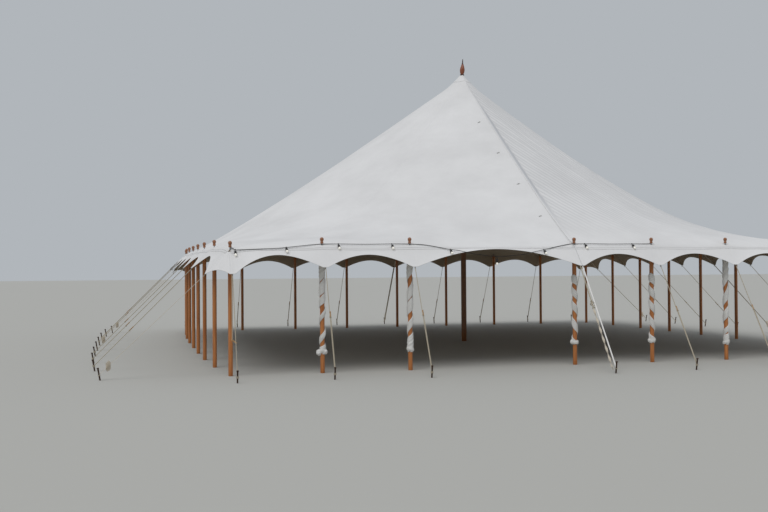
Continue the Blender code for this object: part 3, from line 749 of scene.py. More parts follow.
def half_station(share, sign):
    """The side and the place along it at a share of the way round one half of the tent."""
    column = share * STATIONS[-1][1]
    for (start, low), (end, high) in zip(STATIONS[:-1], STATIONS[1:]):
        if column <= high + 0.0001:
            break
    bays = mix(start, end, (column - low) / (high - low))
    if bays <= HALF_BAYS:
        return "front", sign * bays * BAY
    if bays < 3 * HALF_BAYS:
        return ("left", "right")[sign > 0], sign * (bays - 2 * HALF_BAYS) * BAY
    return "back", sign * (bays - 4 * HALF_BAYS) * BAY


def segment_distance(x, y, start, end):
    """Distance from a point to a line in plan and the share of the way along it."""
    line = Vector(end) - Vector(start)
    offset = Vector((x, y)) - Vector(start)
    share = min(1.0, max(0.0, offset.dot(line) / line.length_squared))
    return (offset - line * share).length, share


def roof_relief(sign, x, y, share, settings):
    """Height that slack, ripples and the raised lacing edge add to the roof."""
    inside = ease(share, 0.05, 0.2) * (1 - ease(share, 0.93, 1.0))
    relief = 0.012 * noise.noise(Vector((x * 0.5, y * 0.5, 3.1 * sign))) * inside
    relief += 0.005 * noise.noise(Vector((x * 1.4, y * 1.4, 7.7 * sign))) * inside
    # The left half stands fuller than the right one, away from the lacing
    full = settings.fullness if sign < 0 else -1.2 * settings.fullness
    relief += full * math.sin(math.pi * share) * abs(math.cos(math.atan2(y, x))) ** 0.8
    if sign > 0:
        # Ripples run from the lacing towards the corner, along the pull of the canvas
        fade = math.exp(-(x / 3.2) ** 2) * ease(share, 0.06, 0.22)
        fade *= 1 - ease(share, 0.84, 0.99)
        wobble = 0.05 * noise.noise(Vector((x * 0.9, y * 0.8, 1.0)))
        line = RIPPLE_WAY[0] * x - RIPPLE_WAY[1] * abs(y) + wobble
        short, broad = [math.sin(math.tau * line / wave) for wave in RIPPLE_WAVES]
        strength = 0.6 + 0.9 * noise.noise(Vector((x * 0.5, y * 1.3, 9.0)))
        relief += settings.ripple * (short + 0.5 * broad) * strength * fade
    else:
        # Broad folds run from the crown towards the left corner
        angle = math.degrees(math.atan2(y, x)) % 360
        for centre, width, height in FOLDS:
            fold = math.exp(-((angle - centre) / width) ** 2)
            relief += height * fold * ease(share, 0.04, 0.3) * (1 - ease(share, 0.55, 0.95))
        distance, part = segment_distance(x, y, *SLACK_FOLD)
        relief += 0.012 * math.exp(-(distance / 0.05) ** 2) * math.sin(math.pi * part) ** 0.6
        step = settings.step * math.sin(math.pi * min(1.0, share)) ** 0.7
        relief += step * (1 - ease(abs(x), 0.02, 0.45)) ** 1.5
    return relief


def roof_height(share, line, angle):
    """Canvas height at a share of the way from the crown to the eave, before its relief."""
    fall = (1 - share) ** ROOF_POWER
    fall -= HIP_SAG * 4 * share * (1 - share) * abs(math.sin(2 * angle))
    near = max(0.0, 1 - (share - ROOF_START) / (CROWN_SHARE - ROOF_START))
    top = mix(line, CROWN_HEIGHT, (1 - ROOF_START) ** ROOF_POWER)
    return mix(line, CROWN_HEIGHT, fall) + (CROWN_HEIGHT - top) * near ** 1.4


def lacing_height(x, y, settings):
    """Canvas height beside the lacing, on whichever half lies there."""
    share = min(1.0, math.hypot(x, y) / HALF)
    sign = -1 if x < 0 else 1
    level = roof_height(share, EAVE_HEIGHT, math.atan2(y, x))
    return level + roof_relief(sign, x, y, share, settings)


def roof_point(sign, u, w, settings):
    """Point of one half of the roof canvas: u round the half, w from the crown to the seam."""
    side, along = half_station(u, sign)
    line, seam, _edge_out, _edge = petal_section(side, along)
    rows = ROOF_ROWS[sign]
    row = w * (rows + LIP_ROWS)
    foot = side_point(side, along, 0.0, line)
    if row > rows:
        past = (row - rows) / LIP_ROWS
        out = EAVE_LIP * past
        place = side_point(side, along, out, mix(line, seam, past))
        if side in ("front", "back") and abs(along) > HALF - 0.001:
            place.x = math.copysign(HALF + out, along * (1 if side == "front" else -1))
        return place
    share = mix(ROOF_START, 1.0, (row / rows) ** 0.97)
    angle = math.atan2(foot.y, foot.x)
    square = HALF / max(abs(math.cos(angle)), abs(math.sin(angle)))
    radius = contour_radius(share, angle) * mix(1.0, foot.xy.length / square, share ** 2)
    radius = max(radius, CROWN_RADIUS)
    height = roof_height(share, line, angle)
    x = radius * math.cos(angle)
    y = radius * math.sin(angle)
    return Vector((x, y, height + roof_relief(sign, x, y, share, settings)))


def thicken(piece, thickness, underside=1):
    """Give a sheet its thickness below its outer face, with the underside's finish inside; on the
    canvas that finish is painted shade.
    """
    shell = piece.modifiers.new("cloth", "SOLIDIFY")
    shell.thickness = thickness
    shell.offset = -1.0
    shell.material_offset = underside


def petal_point(side, along, share):
    """Point of the petals at a share of the way from the seam to the scalloped edge."""
    _line, seam, edge_out, edge = petal_section(side, along)
    start = side_point(side, along, EAVE_LIP, seam)
    return start.lerp(side_point(side, along, edge_out, edge), share)


CORNER_LIP = ((0.0, 1.0), (0.8, 1.0), (1.0, 1.0), (1.0, 0.8), (1.0, 0.4), (1.0, 0.0))


def corner_point(side, end, position, share):
    """Point of the petal round a corner; position runs 0 to 5 over the seam's points."""
    low = min(int(position), 4)
    past = Vector(CORNER_LIP[low]).lerp(Vector(CORNER_LIP[low + 1]), position - low)
    number = HALF_BAYS
    eave = lip_height(side, number)
    tip = tip_height(number)
    seam = Vector((HALF + EAVE_LIP * past.x, EAVE_LIP * past.y, eave))
    arc = min(1.0, max(0.0, (position - 1) / 3))
    if position < 1:
        edge = Vector((HALF + TIP_FLAT * position, CORNER_TIP_OUT, tip))
    elif position > 4:
        edge = Vector((HALF + CORNER_TIP_OUT, TIP_FLAT * (5 - position), tip))
    else:
        edge = Vector((mix(HALF + TIP_FLAT, HALF + CORNER_TIP_OUT, arc),
                       mix(CORNER_TIP_OUT, TIP_FLAT, arc),
                       tip + CORNER_ARC_RISE * (1 - (2 * arc - 1) ** 2)))
    along, out, height = seam.lerp(edge, share)
    return side_point(side, end * along, out, height)


def petal_relief(side, along, share, settings):
    """Small height that pull folds and the hem add to a petal."""
    first, last, _part = bay_share(side, along)
    near = min(along - first * BAY, last * BAY - along)
    pull = math.exp(-(near / 0.25) ** 2)
    spread = near / mix(0.050, 0.024, share)
    waves = 0.0030 * math.cos(spread * math.pi) * pull * math.exp(-(near / 0.16) ** 2)
    belly = -0.012 * math.sin(math.pi * share) * (1 - pull)
    slack = 0.004 * noise.noise(Vector((along * 3.1, share * 2.0, SIDE_NAMES.index(side) * 5.3)))
    hem = settings.hem if share > HEM_START else 0.0
    return (waves + belly + slack * (1 - pull)) * (1 - (2 * share - 1) ** 8) + hem


# Columns of a bay and round a corner
PETAL_COLUMNS = 56
CORNER_COLUMNS = 40
# Rows from the seam to the scalloped edge, closer where the hem steps up
PETAL_SHARES = (0.0, 0.05, 0.11, 0.18, 0.26, 0.35, 0.44, 0.53, 0.62, 0.71, 0.80, 0.88, 0.925,
                0.935, 0.97, 1.0)


def petal_strip(name, side, low, high, corners, finishes, settings):
    """A strip of petals between two poles, with a corner at the named ends."""
    columns = round((high - low) * PETAL_COLUMNS)
    stations = [("bay", mix(low, high, step / columns) * BAY) for step in range(columns + 1)]
    turn = [("corner", step * 5 / CORNER_COLUMNS) for step in range(1, CORNER_COLUMNS + 1)]
    if 1 in corners:
        stations += [(kind, place, 1) for kind, place in turn]
    if -1 in corners:
        stations = [(kind, place, -1) for kind, place in turn[::-1]] + stations
    count = len(stations) - 1
    rows = len(PETAL_SHARES) - 1

    def place(u, w):
        station = stations[round(u * count)]
        share = PETAL_SHARES[round((1 - w) * rows)]
        if station[0] == "bay":
            point = petal_point(side, station[1], share)
            point.z += petal_relief(side, station[1], share, settings)
            return point
        point = corner_point(side, station[2], station[1], share)
        folds = math.cos(station[1] * 8.2) * math.exp(-abs(station[1] - 2.5) / 2.5)
        point.z += 0.006 * folds * math.sin(math.pi * share) ** 0.7
        point.z += settings.hem if share > HEM_START else 0.0
        return point

    builder = sheet_grid(count, rows, place, (count / PETAL_COLUMNS * BAY, 0.45))
    piece = new_piece(f"{name}_canvas", builder, finishes, [name])
    thicken(piece, settings.thickness)


class MARQUEE_OT_roof(bpy.types.Operator):
    """Lay both halves of the roof canvas over the king pole and the side poles"""
    bl_idname = "marquee.roof"
    bl_label = "Roof canvas"

    def execute(self, context):
        settings = context.scene.marquee_canvas
        outer = canvas_material("woven_cotton_canvas", settings.canvas, settings.dust)
        # The inner face is painted dark and warm, as shade inside the tent
        inner = canvas_material("canvas_underside_painted_shade", settings.underside, settings.underside)
        # The right half carries painted shade lines along its puckers
        pucker_shaded_canvas = painted_pucker_shade_material("canvas_with_painted_pucker_shade", settings.canvas, settings.dust)
        for name, sign, finish in (("roof_left", -1, outer), ("roof_right", 1, pucker_shaded_canvas)):
            builder = sheet_grid(STATIONS[-1][1], ROOF_ROWS[sign] + LIP_ROWS,
                                 lambda u, w: roof_point(sign, u, w, settings), (24.4, 7.4))
            if sign > 0:
                bmesh.ops.reverse_faces(builder, faces=builder.faces)
            piece = new_piece(f"{name}_canvas", builder, [finish, inner], [name])
            thicken(piece, settings.thickness)
        return {"FINISHED"}


class MARQUEE_OT_petals(bpy.types.Operator):
    """Hang the petals of the eave from the seam just outside the poles"""
    bl_idname = "marquee.petals"
    bl_label = "Petal eave"

    def execute(self, context):
        settings = context.scene.marquee_canvas
        for name, side, low, high, corners in (
                ("front_right", "front", 0, 4, (1,)), ("front_left", "front", -4, 0, (-1,)),
                ("back_left", "back", 0, 4, (1,)), ("back_right", "back", -4, 0, (-1,)),
                ("left", "left", -4, 4, ()), ("right", "right", -4, 4, ())):
            petal_strip(f"petals_{name}", side, low, high, corners, canvas_finishes(), settings)
        return {"FINISHED"}


# Places of the ties on the left half beside the lacing, in metres from the crown line
TIES = (1.80, 2.96, 4.06, 5.13)


class MARQUEE_OT_lacing(bpy.types.Operator):
    """Lay the flap over the lacing of both halves, with its ties"""
    bl_idname = "marquee.lacing"
    bl_label = "Lacing flap"

    def execute(self, context):
        settings = context.scene.marquee_canvas
        # The flap's finish paints a band of shade along the step of the lacing
        finishes = [flap_painted_shade_material("laced_canvas_with_painted_shade", settings.canvas, settings.dust),
                    bpy.data.materials["canvas_underside_painted_shade"]]
        tab_finish = woven_material("tie_webbing", linear("#BFBEBB"), linear("#A4A3A0"), (140, 0))
        ties = bmesh.new()
        for name, end in (("lacing_flap_front", -1), ("lacing_flap_back", 1)):

            def place(u, w):
                share = mix(ROOF_START + 0.004, 0.985, w)
                y = end * HALF * share
                narrow = mix(0.35, 1.0, ease(share, 0.03, 0.30))
                narrow *= mix(1.0, 0.55, ease(share, 0.75, 0.98))
                x = mix(*FLAP_EDGES, u) * narrow
                raised = lacing_height(-0.02, y, settings)
                lower = lacing_height(max(x, 0.001), y, settings)
                scallop = 0.0012 * math.sin(y * math.tau / 0.15) * (1 - abs(2 * u - 1))
                return Vector((x, y, mix(raised, lower, ease(u, 0.30, 0.92)) + scallop + 0.003))

            builder = sheet_grid(14, 260, place, (0.12, 7.4))
            if end < 0:
                bmesh.ops.reverse_faces(builder, faces=builder.faces)
            piece = new_piece(f"{name}_canvas", builder, finishes, [name])
            thicken(piece, settings.thickness)
            for distance in TIES:
                y = end * distance
                corners = [Vector((x, y + 0.01 * (x + 0.23), 0.0))
                           for x in (-0.258, -0.246, -0.234, -0.222)]
                for corner in corners:
                    corner.z = lacing_height(corner.x, corner.y, settings) + 0.0035
                join(ties, strap(corners, Vector((0.0, 1.0, 0.0)), 0.035, 0.0, 0.003))
                loop = Vector((-0.212, y, lacing_height(-0.212, y, settings) + 0.006))
                join(ties, torus(loop, Vector((0.1, 0.0, 1.0)), 0.011, 0.003))
        new_piece("lacing_ties", ties, [tab_finish])
        return {"FINISHED"}


class MARQUEE_OT_side_poles(bpy.types.Operator):
    """Turn the side poles with their pins and knobs"""
    bl_idname = "marquee.side_poles"
    bl_label = "Side poles"

    def execute(self, context):
        settings = context.scene.marquee_timber
        shaft = wood_material("varnished_softwood", settings.pole, settings.pole_dark)
        knob_wood = wood_material("turned_knob_beech", settings.knob,
                                  darker(settings.knob, 0.7))
        pin = metal_material("zinc_plated_pin", linear("#8C8C8A"), linear("#6A6A68"))
        radius = settings.pole_radius
        ball = settings.knob_radius
        for node in sorted(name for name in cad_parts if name.startswith("pole_")):
            foot = middle(node)
            foot.z = 0.0
            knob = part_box(node)[1][2] - KNOB_HEIGHT
            head = knob - PIN_SHOWING - 0.05
            profile = [(0.0, 0.0), (radius - 0.004, 0.0), (radius, 0.006)]
            profile += [(radius, height / 10) for height in range(1, 20)]
            profile += [(radius, head - 0.06), (radius * 0.97, head - 0.045),
                        (radius * 0.72, head - 0.012), (0.022, head), (PIN_RADIUS, head),
                        (PIN_RADIUS, knob), (ball * 0.70, knob), (ball * 0.78, knob + 0.006),
                        (ball * 0.74, knob + 0.030), (ball * 0.62, knob + 0.036),
                        (ball * 0.80, knob + 0.044)]
            centre = knob + KNOB_CENTRE
            for step in range(1, 9):
                angle = math.radians(-42 + step * 132 / 8)
                profile.append((ball * math.cos(angle), centre + ball * math.sin(angle)))
            profile.append((0.0, centre + ball))
            builder = turned(profile, foot, 28, ((head, 1), (knob - 0.002, 2)))
            new_piece(f"side_{node}", builder, [shaft, pin, knob_wood], [node])
        return {"FINISHED"}


class MARQUEE_OT_king_pole(bpy.types.Operator):
    """Stand the king pole with its crown ring, canvas boot and finial"""
    bl_idname = "marquee.king_pole"
    bl_label = "King pole and finial"

    def execute(self, context):
        settings = context.scene.marquee_timber
        canvas = context.scene.marquee_canvas
        king_wood = wood_material("varnished_king_pole", settings.king,
                                  darker(settings.king, 0.65))
        red_wood = wood_material("turned_finial_mahogany", settings.finial,
                                 darker(settings.finial, 0.6), 0.3)
        zinc = metal_material("zinc_plated_ring", linear("#8C8C8A"), linear("#6A6A68"))
        collar = woven_material("dark_rope_collar", linear("#4A2A1C"), linear("#2E1A12"), (67, 90))
        wide, _deep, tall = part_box("king_pole")[1]
        profile = [(0.0, 0.0), (wide - 0.004, 0.0), (wide, 0.006)]
        profile += [(wide, tall * step / 20) for step in range(1, 19)]
        profile += [(wide, tall - 0.35), (wide * 0.88, tall - 0.15), (wide * 0.75, tall - 0.03),
                    (0.040, tall), (0.0, tall)]
        new_piece("king_pole_shaft", turned(profile, Vector(), 40), [king_wood],
                  ["king_pole"])

        low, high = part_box("crown_ring")
        outer, bottom, top = high[0], low[2], high[2]
        ring = ((RING_BORE, bottom), (outer - 0.004, bottom), (outer, bottom + 0.004),
                (outer, top - 0.004), (outer - 0.004, top), (RING_BORE, top))
        new_piece("crown_ring_spun", spun_ring(ring, 48), [zinc],
                  ["crown_ring"])

        low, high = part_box("finial")
        foot = CROWN_HEIGHT + 0.03
        tall = high[2] - foot
        widest = 0.057
        shape = ((0.56, 0.0), (0.64, 0.015), (0.66, 0.04), (0.60, 0.07), (0.54, 0.09),
                 (0.60, 0.125), (0.72, 0.17), (0.85, 0.22), (0.95, 0.28), (1.0, 0.34),
                 (1.0, 0.40), (0.90, 0.48), (0.74, 0.56), (0.56, 0.63), (0.40, 0.70),
                 (0.29, 0.75), (0.22, 0.80), (0.19, 0.90), (0.14, 0.985), (0.07, 1.0))
        profile = [(0.0, low[2] + 0.001), (0.012, low[2] + 0.001), (0.012, foot)]
        profile += [(widest * wide, foot + tall * high_share) for wide, high_share in shape]
        profile.append((0.0, foot + tall))
        builder = turned(profile, Vector(), 36, ((foot - 0.01, 0), (foot + tall * 0.70, 1)))
        for vertex in builder.verts:
            vertex.co.x += max(0.0, vertex.co.z - foot) * 0.05
        dark = wood_material("dark_finial_tip", linear("#4E2C20"), linear("#2E1A14"), 0.35)
        new_piece("finial_turned", builder, [red_wood, dark], ["finial"])

        # The canvas boot carries the slope of the roof up to the collar round the finial
        def place(u, w):
            radius = mix(0.21, 0.043, w)
            angle = math.tau * u
            wide = max(radius, CROWN_RADIUS + 0.001)
            height = lacing_height(wide * math.cos(angle), wide * math.sin(angle), canvas)
            height += 0.95 * max(0.0, CROWN_RADIUS - radius) + 0.004 + 0.016 * w ** 4
            folds = 1 + 0.05 * math.sin(angle * 9) * w ** 2 + 0.03 * math.sin(angle * 4 + 1) * w
            height += 0.002 * math.sin(angle * 7 + 2) * w * (1 - w)
            return polar(radius * folds, angle, height)

        builder = sheet_grid(96, 24, place, (1.3, 0.24))
        bmesh.ops.remove_doubles(builder, verts=builder.verts, dist=0.00001)
        piece = new_piece("crown_boot", builder, canvas_finishes())
        thicken(piece, 0.0015)
        coils = [polar(0.044, math.tau * step / 36, CROWN_HEIGHT + 0.048 + 0.0105 * step / 36)
                 for step in range(3 * 36 + 1)]
        new_piece("finial_collar", tube(coils, 0.0055), [collar])
        return {"FINISHED"}


def guy_line(side, number, half_thickness):
    """Middle line of a guy in (out, up): from the pin, under the petal, to the stake."""
    reach = tip_out(side, number)
    tip = tip_height(number)
    eave = pole_eave(number)
    slope = math.atan2(eave - tip, reach)
    drop = Vector((math.sin(slope), math.cos(slope))) * (half_thickness + 0.006)
    start = Vector((0.016, eave - 0.016 * math.tan(slope))) - drop
    bend = Vector((reach - 0.004, tip + 0.004)) - drop
    hold = Vector((stake_run(side, number) + STAKE_LEAN * STAKE_HOLD / STAKE_HEIGHT, STAKE_HOLD))
    return start, bend, hold


def stake_run(side, number):
    """Distance on the ground from the pole line to a stake."""
    return END_GUY_RUNS[number + HALF_BAYS] if side in ("front", "back") else SIDE_GUY_RUN


def even_path(corners, spacing):
    """Points at an even spacing along a line through the given corners."""
    points = [corners[0]]
    for start, end in zip(corners[:-1], corners[1:]):
        steps = max(2, round((end - start).length / spacing))
        points += [start.lerp(end, step / steps) for step in range(1, steps + 1)]
    return points


def has_strap(side, number):
    """Middle poles and the outer guys of both ends are held by webbing, the rest by rope."""
    return number == 0 or (side in ("left", "right") and abs(number) == HALF_BAYS)


def stake(side, foot):
    """A round steel stake with a forged head, leaning away from the tent."""
    profile = [(0.0, 0.0), (0.013, 0.0), (0.013, 0.17), (0.014, 0.178), (0.019, 0.186),
               (0.0195, 0.194), (0.015, 0.1995), (0.0, 0.20)]
    builder = turned(profile, Vector(), 16)
    _along, out = side_frame(side)
    for vertex in builder.verts:
        share = vertex.co.z / STAKE_HEIGHT
        vertex.co += foot + out * (STAKE_LEAN * share)
    return builder


def eave_tape(side, settings):
    """The band of webbing along a side, sewn on the petals just outside the eave seam."""
    count = 2 * HALF_BAYS * 28

    def place(u, w):
        along = mix(-HALF, HALF, u)
        _line, seam, edge_out, edge = petal_section(side, along)
        wide = math.hypot(edge_out - EAVE_LIP, seam - edge)
        share = mix(0.004, 0.039, w) / wide
        point = petal_point(side, along, share)
        point.z += petal_relief(side, along, share, settings) + 0.0022
        return point

    return sheet_grid(count, 3, place, (2 * HALF, 0.035))


class MARQUEE_OT_guys(bpy.types.Operator):
    """Run a rope or a webbing strap from each pin under its petal to its stake"""
    bl_idname = "marquee.guys"
    bl_label = "Guys, straps and stakes"

    def execute(self, context):
        settings = context.scene.marquee_rigging
        # Rope strands pass every 15 mm; webbing ribs are 2 mm wide and drawn at 7 mm
        rope_finish = woven_material("three_strand_rope", settings.rope,
                                     darker(settings.rope, 0.6), (67, 80), 0.8)
        strap_finish = woven_material("polyester_webbing", settings.webbing,
                                      darker(settings.webbing, 0.8), (140, 0))
        white_finish = woven_material("white_polyester_webbing", linear("#EDEAE6"),
                                      linear("#DAD6D0"), (140, 0))
        tape_finish = woven_material("cotton_eave_tape", linear("#E0DEDD"), linear("#D2D0CF"),
                                     (140, 0))
        steel = metal_material("forged_stake_steel", settings.stake, linear("#5A3A28"), 0.6, 0.6)
        zinc = metal_material("blackened_ring_steel", linear("#3C3A38"), linear("#2A2826"))
        slider = wood_material("turned_runner_ash", settings.runner,
                               darker(settings.runner, 0.6))
        for side in SIDE_NAMES:
            node = f"guys_and_stakes_{side}"
            ropes, straps, whites, stakes, rings, runners = [bmesh.new() for _ in range(6)]
            along, _out = side_frame(side)
            for number in guy_numbers(side):
                half = 0.002 if has_strap(side, number) else settings.rope_radius
                corners = [side_point(side, number * BAY, out, height)
                           for out, height in guy_line(side, number, half)]
                tip, hold = corners[1:]
                if has_strap(side, number):
                    wide = 0.024 if side == "front" else settings.strap_width * 0.8
                    white = whites if side == "front" else straps
                    join(white, strap(even_path(corners, 0.05), along, wide))
                    self.spare_ends(side, along, tip, hold, ropes, straps, settings)
                else:
                    join(ropes, tube(even_path(corners, 0.04), half))
                    self.second_run(side, number, along, tip, hold, ropes, runners, settings)
                # Each tip carries a ring, and each stake a turn of the guy
                join(rings, torus(tip - UP * 0.012, along, 0.015, 0.0032))
                for turn in range(3 if half > 0.002 else 1):
                    join(ropes, torus(hold + UP * (0.011 * (turn - 1)), UP, 0.018,
                                      settings.rope_radius * 0.85))
                foot = side_point(side, number * BAY, stake_run(side, number), 0.0)
                join(stakes, stake(side, foot))
            for name, group, finish in (
                    ("ropes", ropes, rope_finish), ("straps", straps, strap_finish),
                    ("white_straps", whites, white_finish), ("stakes", stakes, steel),
                    ("tip_rings", rings, zinc), ("runners", runners, slider)):
                if group.verts:
                    new_piece(f"{name}_{side}", group, [finish], [node])
                else:
                    group.free()
            tape = new_piece(f"eave_tape_{side}",
                             eave_tape(side, context.scene.marquee_canvas), [tape_finish],
                             [node])
            thicken(tape, 0.0012, 0)
        return {"FINISHED"}

    def second_run(self, side, number, along, tip, hold, ropes, runners, settings):
        """The rope that comes back to the wooden runner of a guy."""
        thin = settings.rope_radius * 0.85
        if side == "front" and number == -HALF_BAYS:
            # Here the runner holds a loop that hangs from the tip
            place = tip.lerp(hold, 0.66)
            side_run = place - along * 0.055
            join(ropes, tube(even_path([tip - along * 0.012, side_run], 0.05), thin))
            slant = (side_run - place + UP * 0.04).normalized()
            join(runners, runner((place + side_run) / 2, slant, slant.cross(
                (hold - tip).normalized().cross(slant)).normalized()))
            return
        share = 0.45 if side == "front" else 0.62
        run = (hold - tip).normalized()
        place = tip.lerp(hold, share)
        beside = along * 0.014
        join(ropes, tube(even_path([place + beside, hold + beside * 0.7], 0.05), thin))
        join(runners, runner(place + beside * 0.5, run, along))
        join(ropes, torus(place + run * 0.05 + beside * 0.5, run, 0.014, thin * 0.9))

    def spare_ends(self, side, along, tip, hold, ropes, straps, settings):
        """What hangs beside a webbing strap: a knotted second line, or its folded spare end."""
        run = (hold - tip).normalized()
        if side == "front":
            start = tip - along * 0.040
            knot = start.lerp(hold - along * 0.075, 0.36)
            end = hold - along * 0.075 + UP * 0.02
            join(ropes, tube(even_path([start, knot], 0.04), 0.009))
            join(straps, strap(even_path([knot, end], 0.02), along, 0.036, 3.5, 0.006))
            for step in range(5):
                centre = knot + run * (0.035 * step) + along * (0.018 * math.sin(step * 2.3))
                way = (run + along * math.cos(step * 1.9)).normalized()
                join(ropes, torus(centre, way, 0.022, settings.rope_radius))
            join(ropes, tube(even_path([end, Vector((end.x, end.y, 0.06)) + along * 0.02], 0.03),
                             settings.rope_radius))
            return
        # The spare end is folded to and fro and hangs from the strap near the stake
        folds = []
        place = tip.lerp(hold, 0.90)
        for step in range(8):
            swing = along * (0.030 * (step % 2) - 0.015) + run * (0.010 * step)
            level = 0.075 if step % 2 else -0.055
            folds.append(place + swing + UP * (level - 0.01))
        across = along.cross(run).normalized()
        join(straps, strap(smooth_path(folds, 56), across, settings.strap_width * 0.8))


# Steps of the mesh in one turn of the voile
TURN_STEPS = 40
# Winding of the voile as it shows in front: which way it rises, where it starts, each gap
# as the lower edge of a turn and the upper edge of the next, the knot, and how full it is
WINDS = {
    -3: (1, 1.97, ((1.560, 1.543), (1.319, 1.300), (1.143, 1.009), (0.901, 0.667),
                   (0.545, 0.455)), 0.365, 0.010),
    -2: (1, 1.97, ((1.600, 1.445), (1.225, 1.205), (0.985, 0.865), (0.700, 0.600)), 0.36, 0.010),
    0: (-1, 1.6065, ((1.437, 1.348), (1.196, 1.098), (0.946, 0.795), (0.616, 0.450)), 0.41,
        0.012),
    1: (-1, 1.62, ((1.440, 1.350), (1.190, 1.095), (0.940, 0.810), (0.640, 0.480)), 0.40, 0.012),
    2: (1, 1.97, ((1.404, 1.283), (1.069, 0.948), (0.753, 0.604), (0.492, 0.474)), 0.33, 0.010),
    3: (1, 1.97, ((1.420, 1.300), (1.080, 0.960), (0.770, 0.630), (0.500, 0.480)), 0.33, 0.010)}


class MARQUEE_OT_voile(bpy.types.Operator):
    """Wind white voile round the inner front poles and knot its ends"""
    bl_idname = "marquee.voile"
    bl_label = "Voile wraps"

    def execute(self, context):
        settings = context.scene.marquee_dressing
        # Threads lie 0.5 mm apart and are drawn 5 mm wide
        finish = woven_material("plain_woven_voile", settings.voile,
                                darker(settings.voile, 0.90), (0, 200), 0.3)
        radius = context.scene.marquee_timber.pole_radius
        for number, (rise, top, gaps, knot, full) in WINDS.items():
            foot = side_point("front", number * BAY, 0.0, 0.0)
            facing = math.atan2(CAMERA_PLACE[1] - foot.y, CAMERA_PLACE[0] - foot.x)
            nodes = [(top + 0.01, top - 0.06)]
            upper = top
            for low, high in gaps:
                nodes.append((upper, low))
                upper = high
            nodes += [(upper, knot - 0.03), (knot + 0.05, knot - 0.05)]
            turns = len(nodes) - 1
            pairs = [Vector((high, low, 0.0)) for high, low in nodes]
            edges = smooth_path(pairs, turns * TURN_STEPS + 1)
            tucked = 24 if top < 1.9 else 0
            steps = len(edges) - 1 - tucked

            def place(u, w):
                index = tucked + round(u * steps)
                high, low, _none = edges[index]
                turn = index / TURN_STEPS
                if tucked:
                    high = mix(mix(low, high, 0.6), high, ease(index, tucked, tucked + 16))
                angle = facing - rise * math.tau * (turn - 1)
                drift = noise.noise(Vector((turn * 0.9, w * 1.5, number * 3.7)))
                pleat = 0.0030 * math.sin(w * 30 + 4 * drift)
                pleat += 0.0016 * math.sin(w * 71 + 5 * drift)
                bulge = full * math.sqrt(max(0.0, 1 - (2 * w - 1) ** 2))
                reach = radius + 0.005 + (pleat + 0.003 * drift) * (0.3 + bulge / full) + bulge
                height = mix(low, high, w) + 0.006 * drift
                return foot + polar(max(reach, radius + 0.002), angle, height)

            total = turns * math.hypot(math.tau * (radius + 0.01), (top - knot) / turns)
            builder = sheet_grid(steps, 30, place, (total, 0.25))
            bmesh.ops.recalc_face_normals(builder, faces=builder.faces)
            area = sum(face.calc_area() for face in builder.faces)
            piece = new_piece(f"voile_band_{number + HALF_BAYS}", builder, [finish],
                              [f"voile_wrap_{number + HALF_BAYS}"])
            thicken(piece, 0.0012, 0)
            bunch = self.knot(foot, knot, radius, number, facing)
            tied = new_piece(f"voile_knot_{number + HALF_BAYS}", bunch, [finish])
        return {"FINISHED"}

    def knot(self, foot, level, radius, number, facing):
        """The gathered end of a wrap: a crumpled ring round the pole and two puffs."""
        def place(u, w):
            around, round_it = math.tau * u, math.tau * w
            way = polar(1.0, around, 0.4 * math.sin(round_it))
            crease = noise.noise(way * 3.2 + Vector((number, 0.0, 0.0)))
            reach = radius + 0.014 + 0.012 * (math.cos(round_it) * (1 + 0.5 * crease))
            height = level + (0.030 + 0.010 * crease) * math.sin(round_it)
            height += 0.012 * math.sin(around + number)
            return foot + polar(reach, around, height)

        builder = close_up(sheet_grid(64, 18, place, (0.4, 0.2)), 0.00005)
        way = polar(1.0, facing + math.pi / 2)
        front = polar(1.0, facing) * 0.022
        puffs = {0: ((-0.052, 0.0, 0.036, 0.050), (0.034, -0.005, 0.028, 0.034)),
                 1: ((-0.046, 0.0, 0.034, 0.044), (0.036, 0.005, 0.028, 0.034)),
                 -3: ((-0.060, -0.020, 0.046, 0.062), (0.046, -0.010, 0.040, 0.052))}
        for shift, over, wide, tall in puffs.get(number, ((-0.030, -0.004, 0.026, 0.036),
                                                          (0.028, 0.004, 0.026, 0.036))):
            centre = foot + way * shift + front + UP * (level + over)
            join(builder, crumple(centre, (wide, wide, tall), number * 2.3 + shift * 40))
        return builder


def lamp_axis(top):
    """Direction of a lamp: down the petal's slope, or straight down past its edge."""
    _line, seam, edge_out, edge = petal_section("front", top.x)
    if top.z < edge:
        return Vector((0.0, 0.0, -1.0))
    fall = Vector((edge_out - EAVE_LIP, edge - seam)).normalized()
    square = Vector((-fall.y, fall.x))
    out = -top.y - HALF
    slope_point = Vector((EAVE_LIP, seam)) + fall * ((out - EAVE_LIP) / fall.x + LAMP_LENGTH)
    foot = slope_point + square * LAMP_LIFT
    target = Vector((top.x, -HALF - foot.x, foot.y))
    return (target - top).normalized()


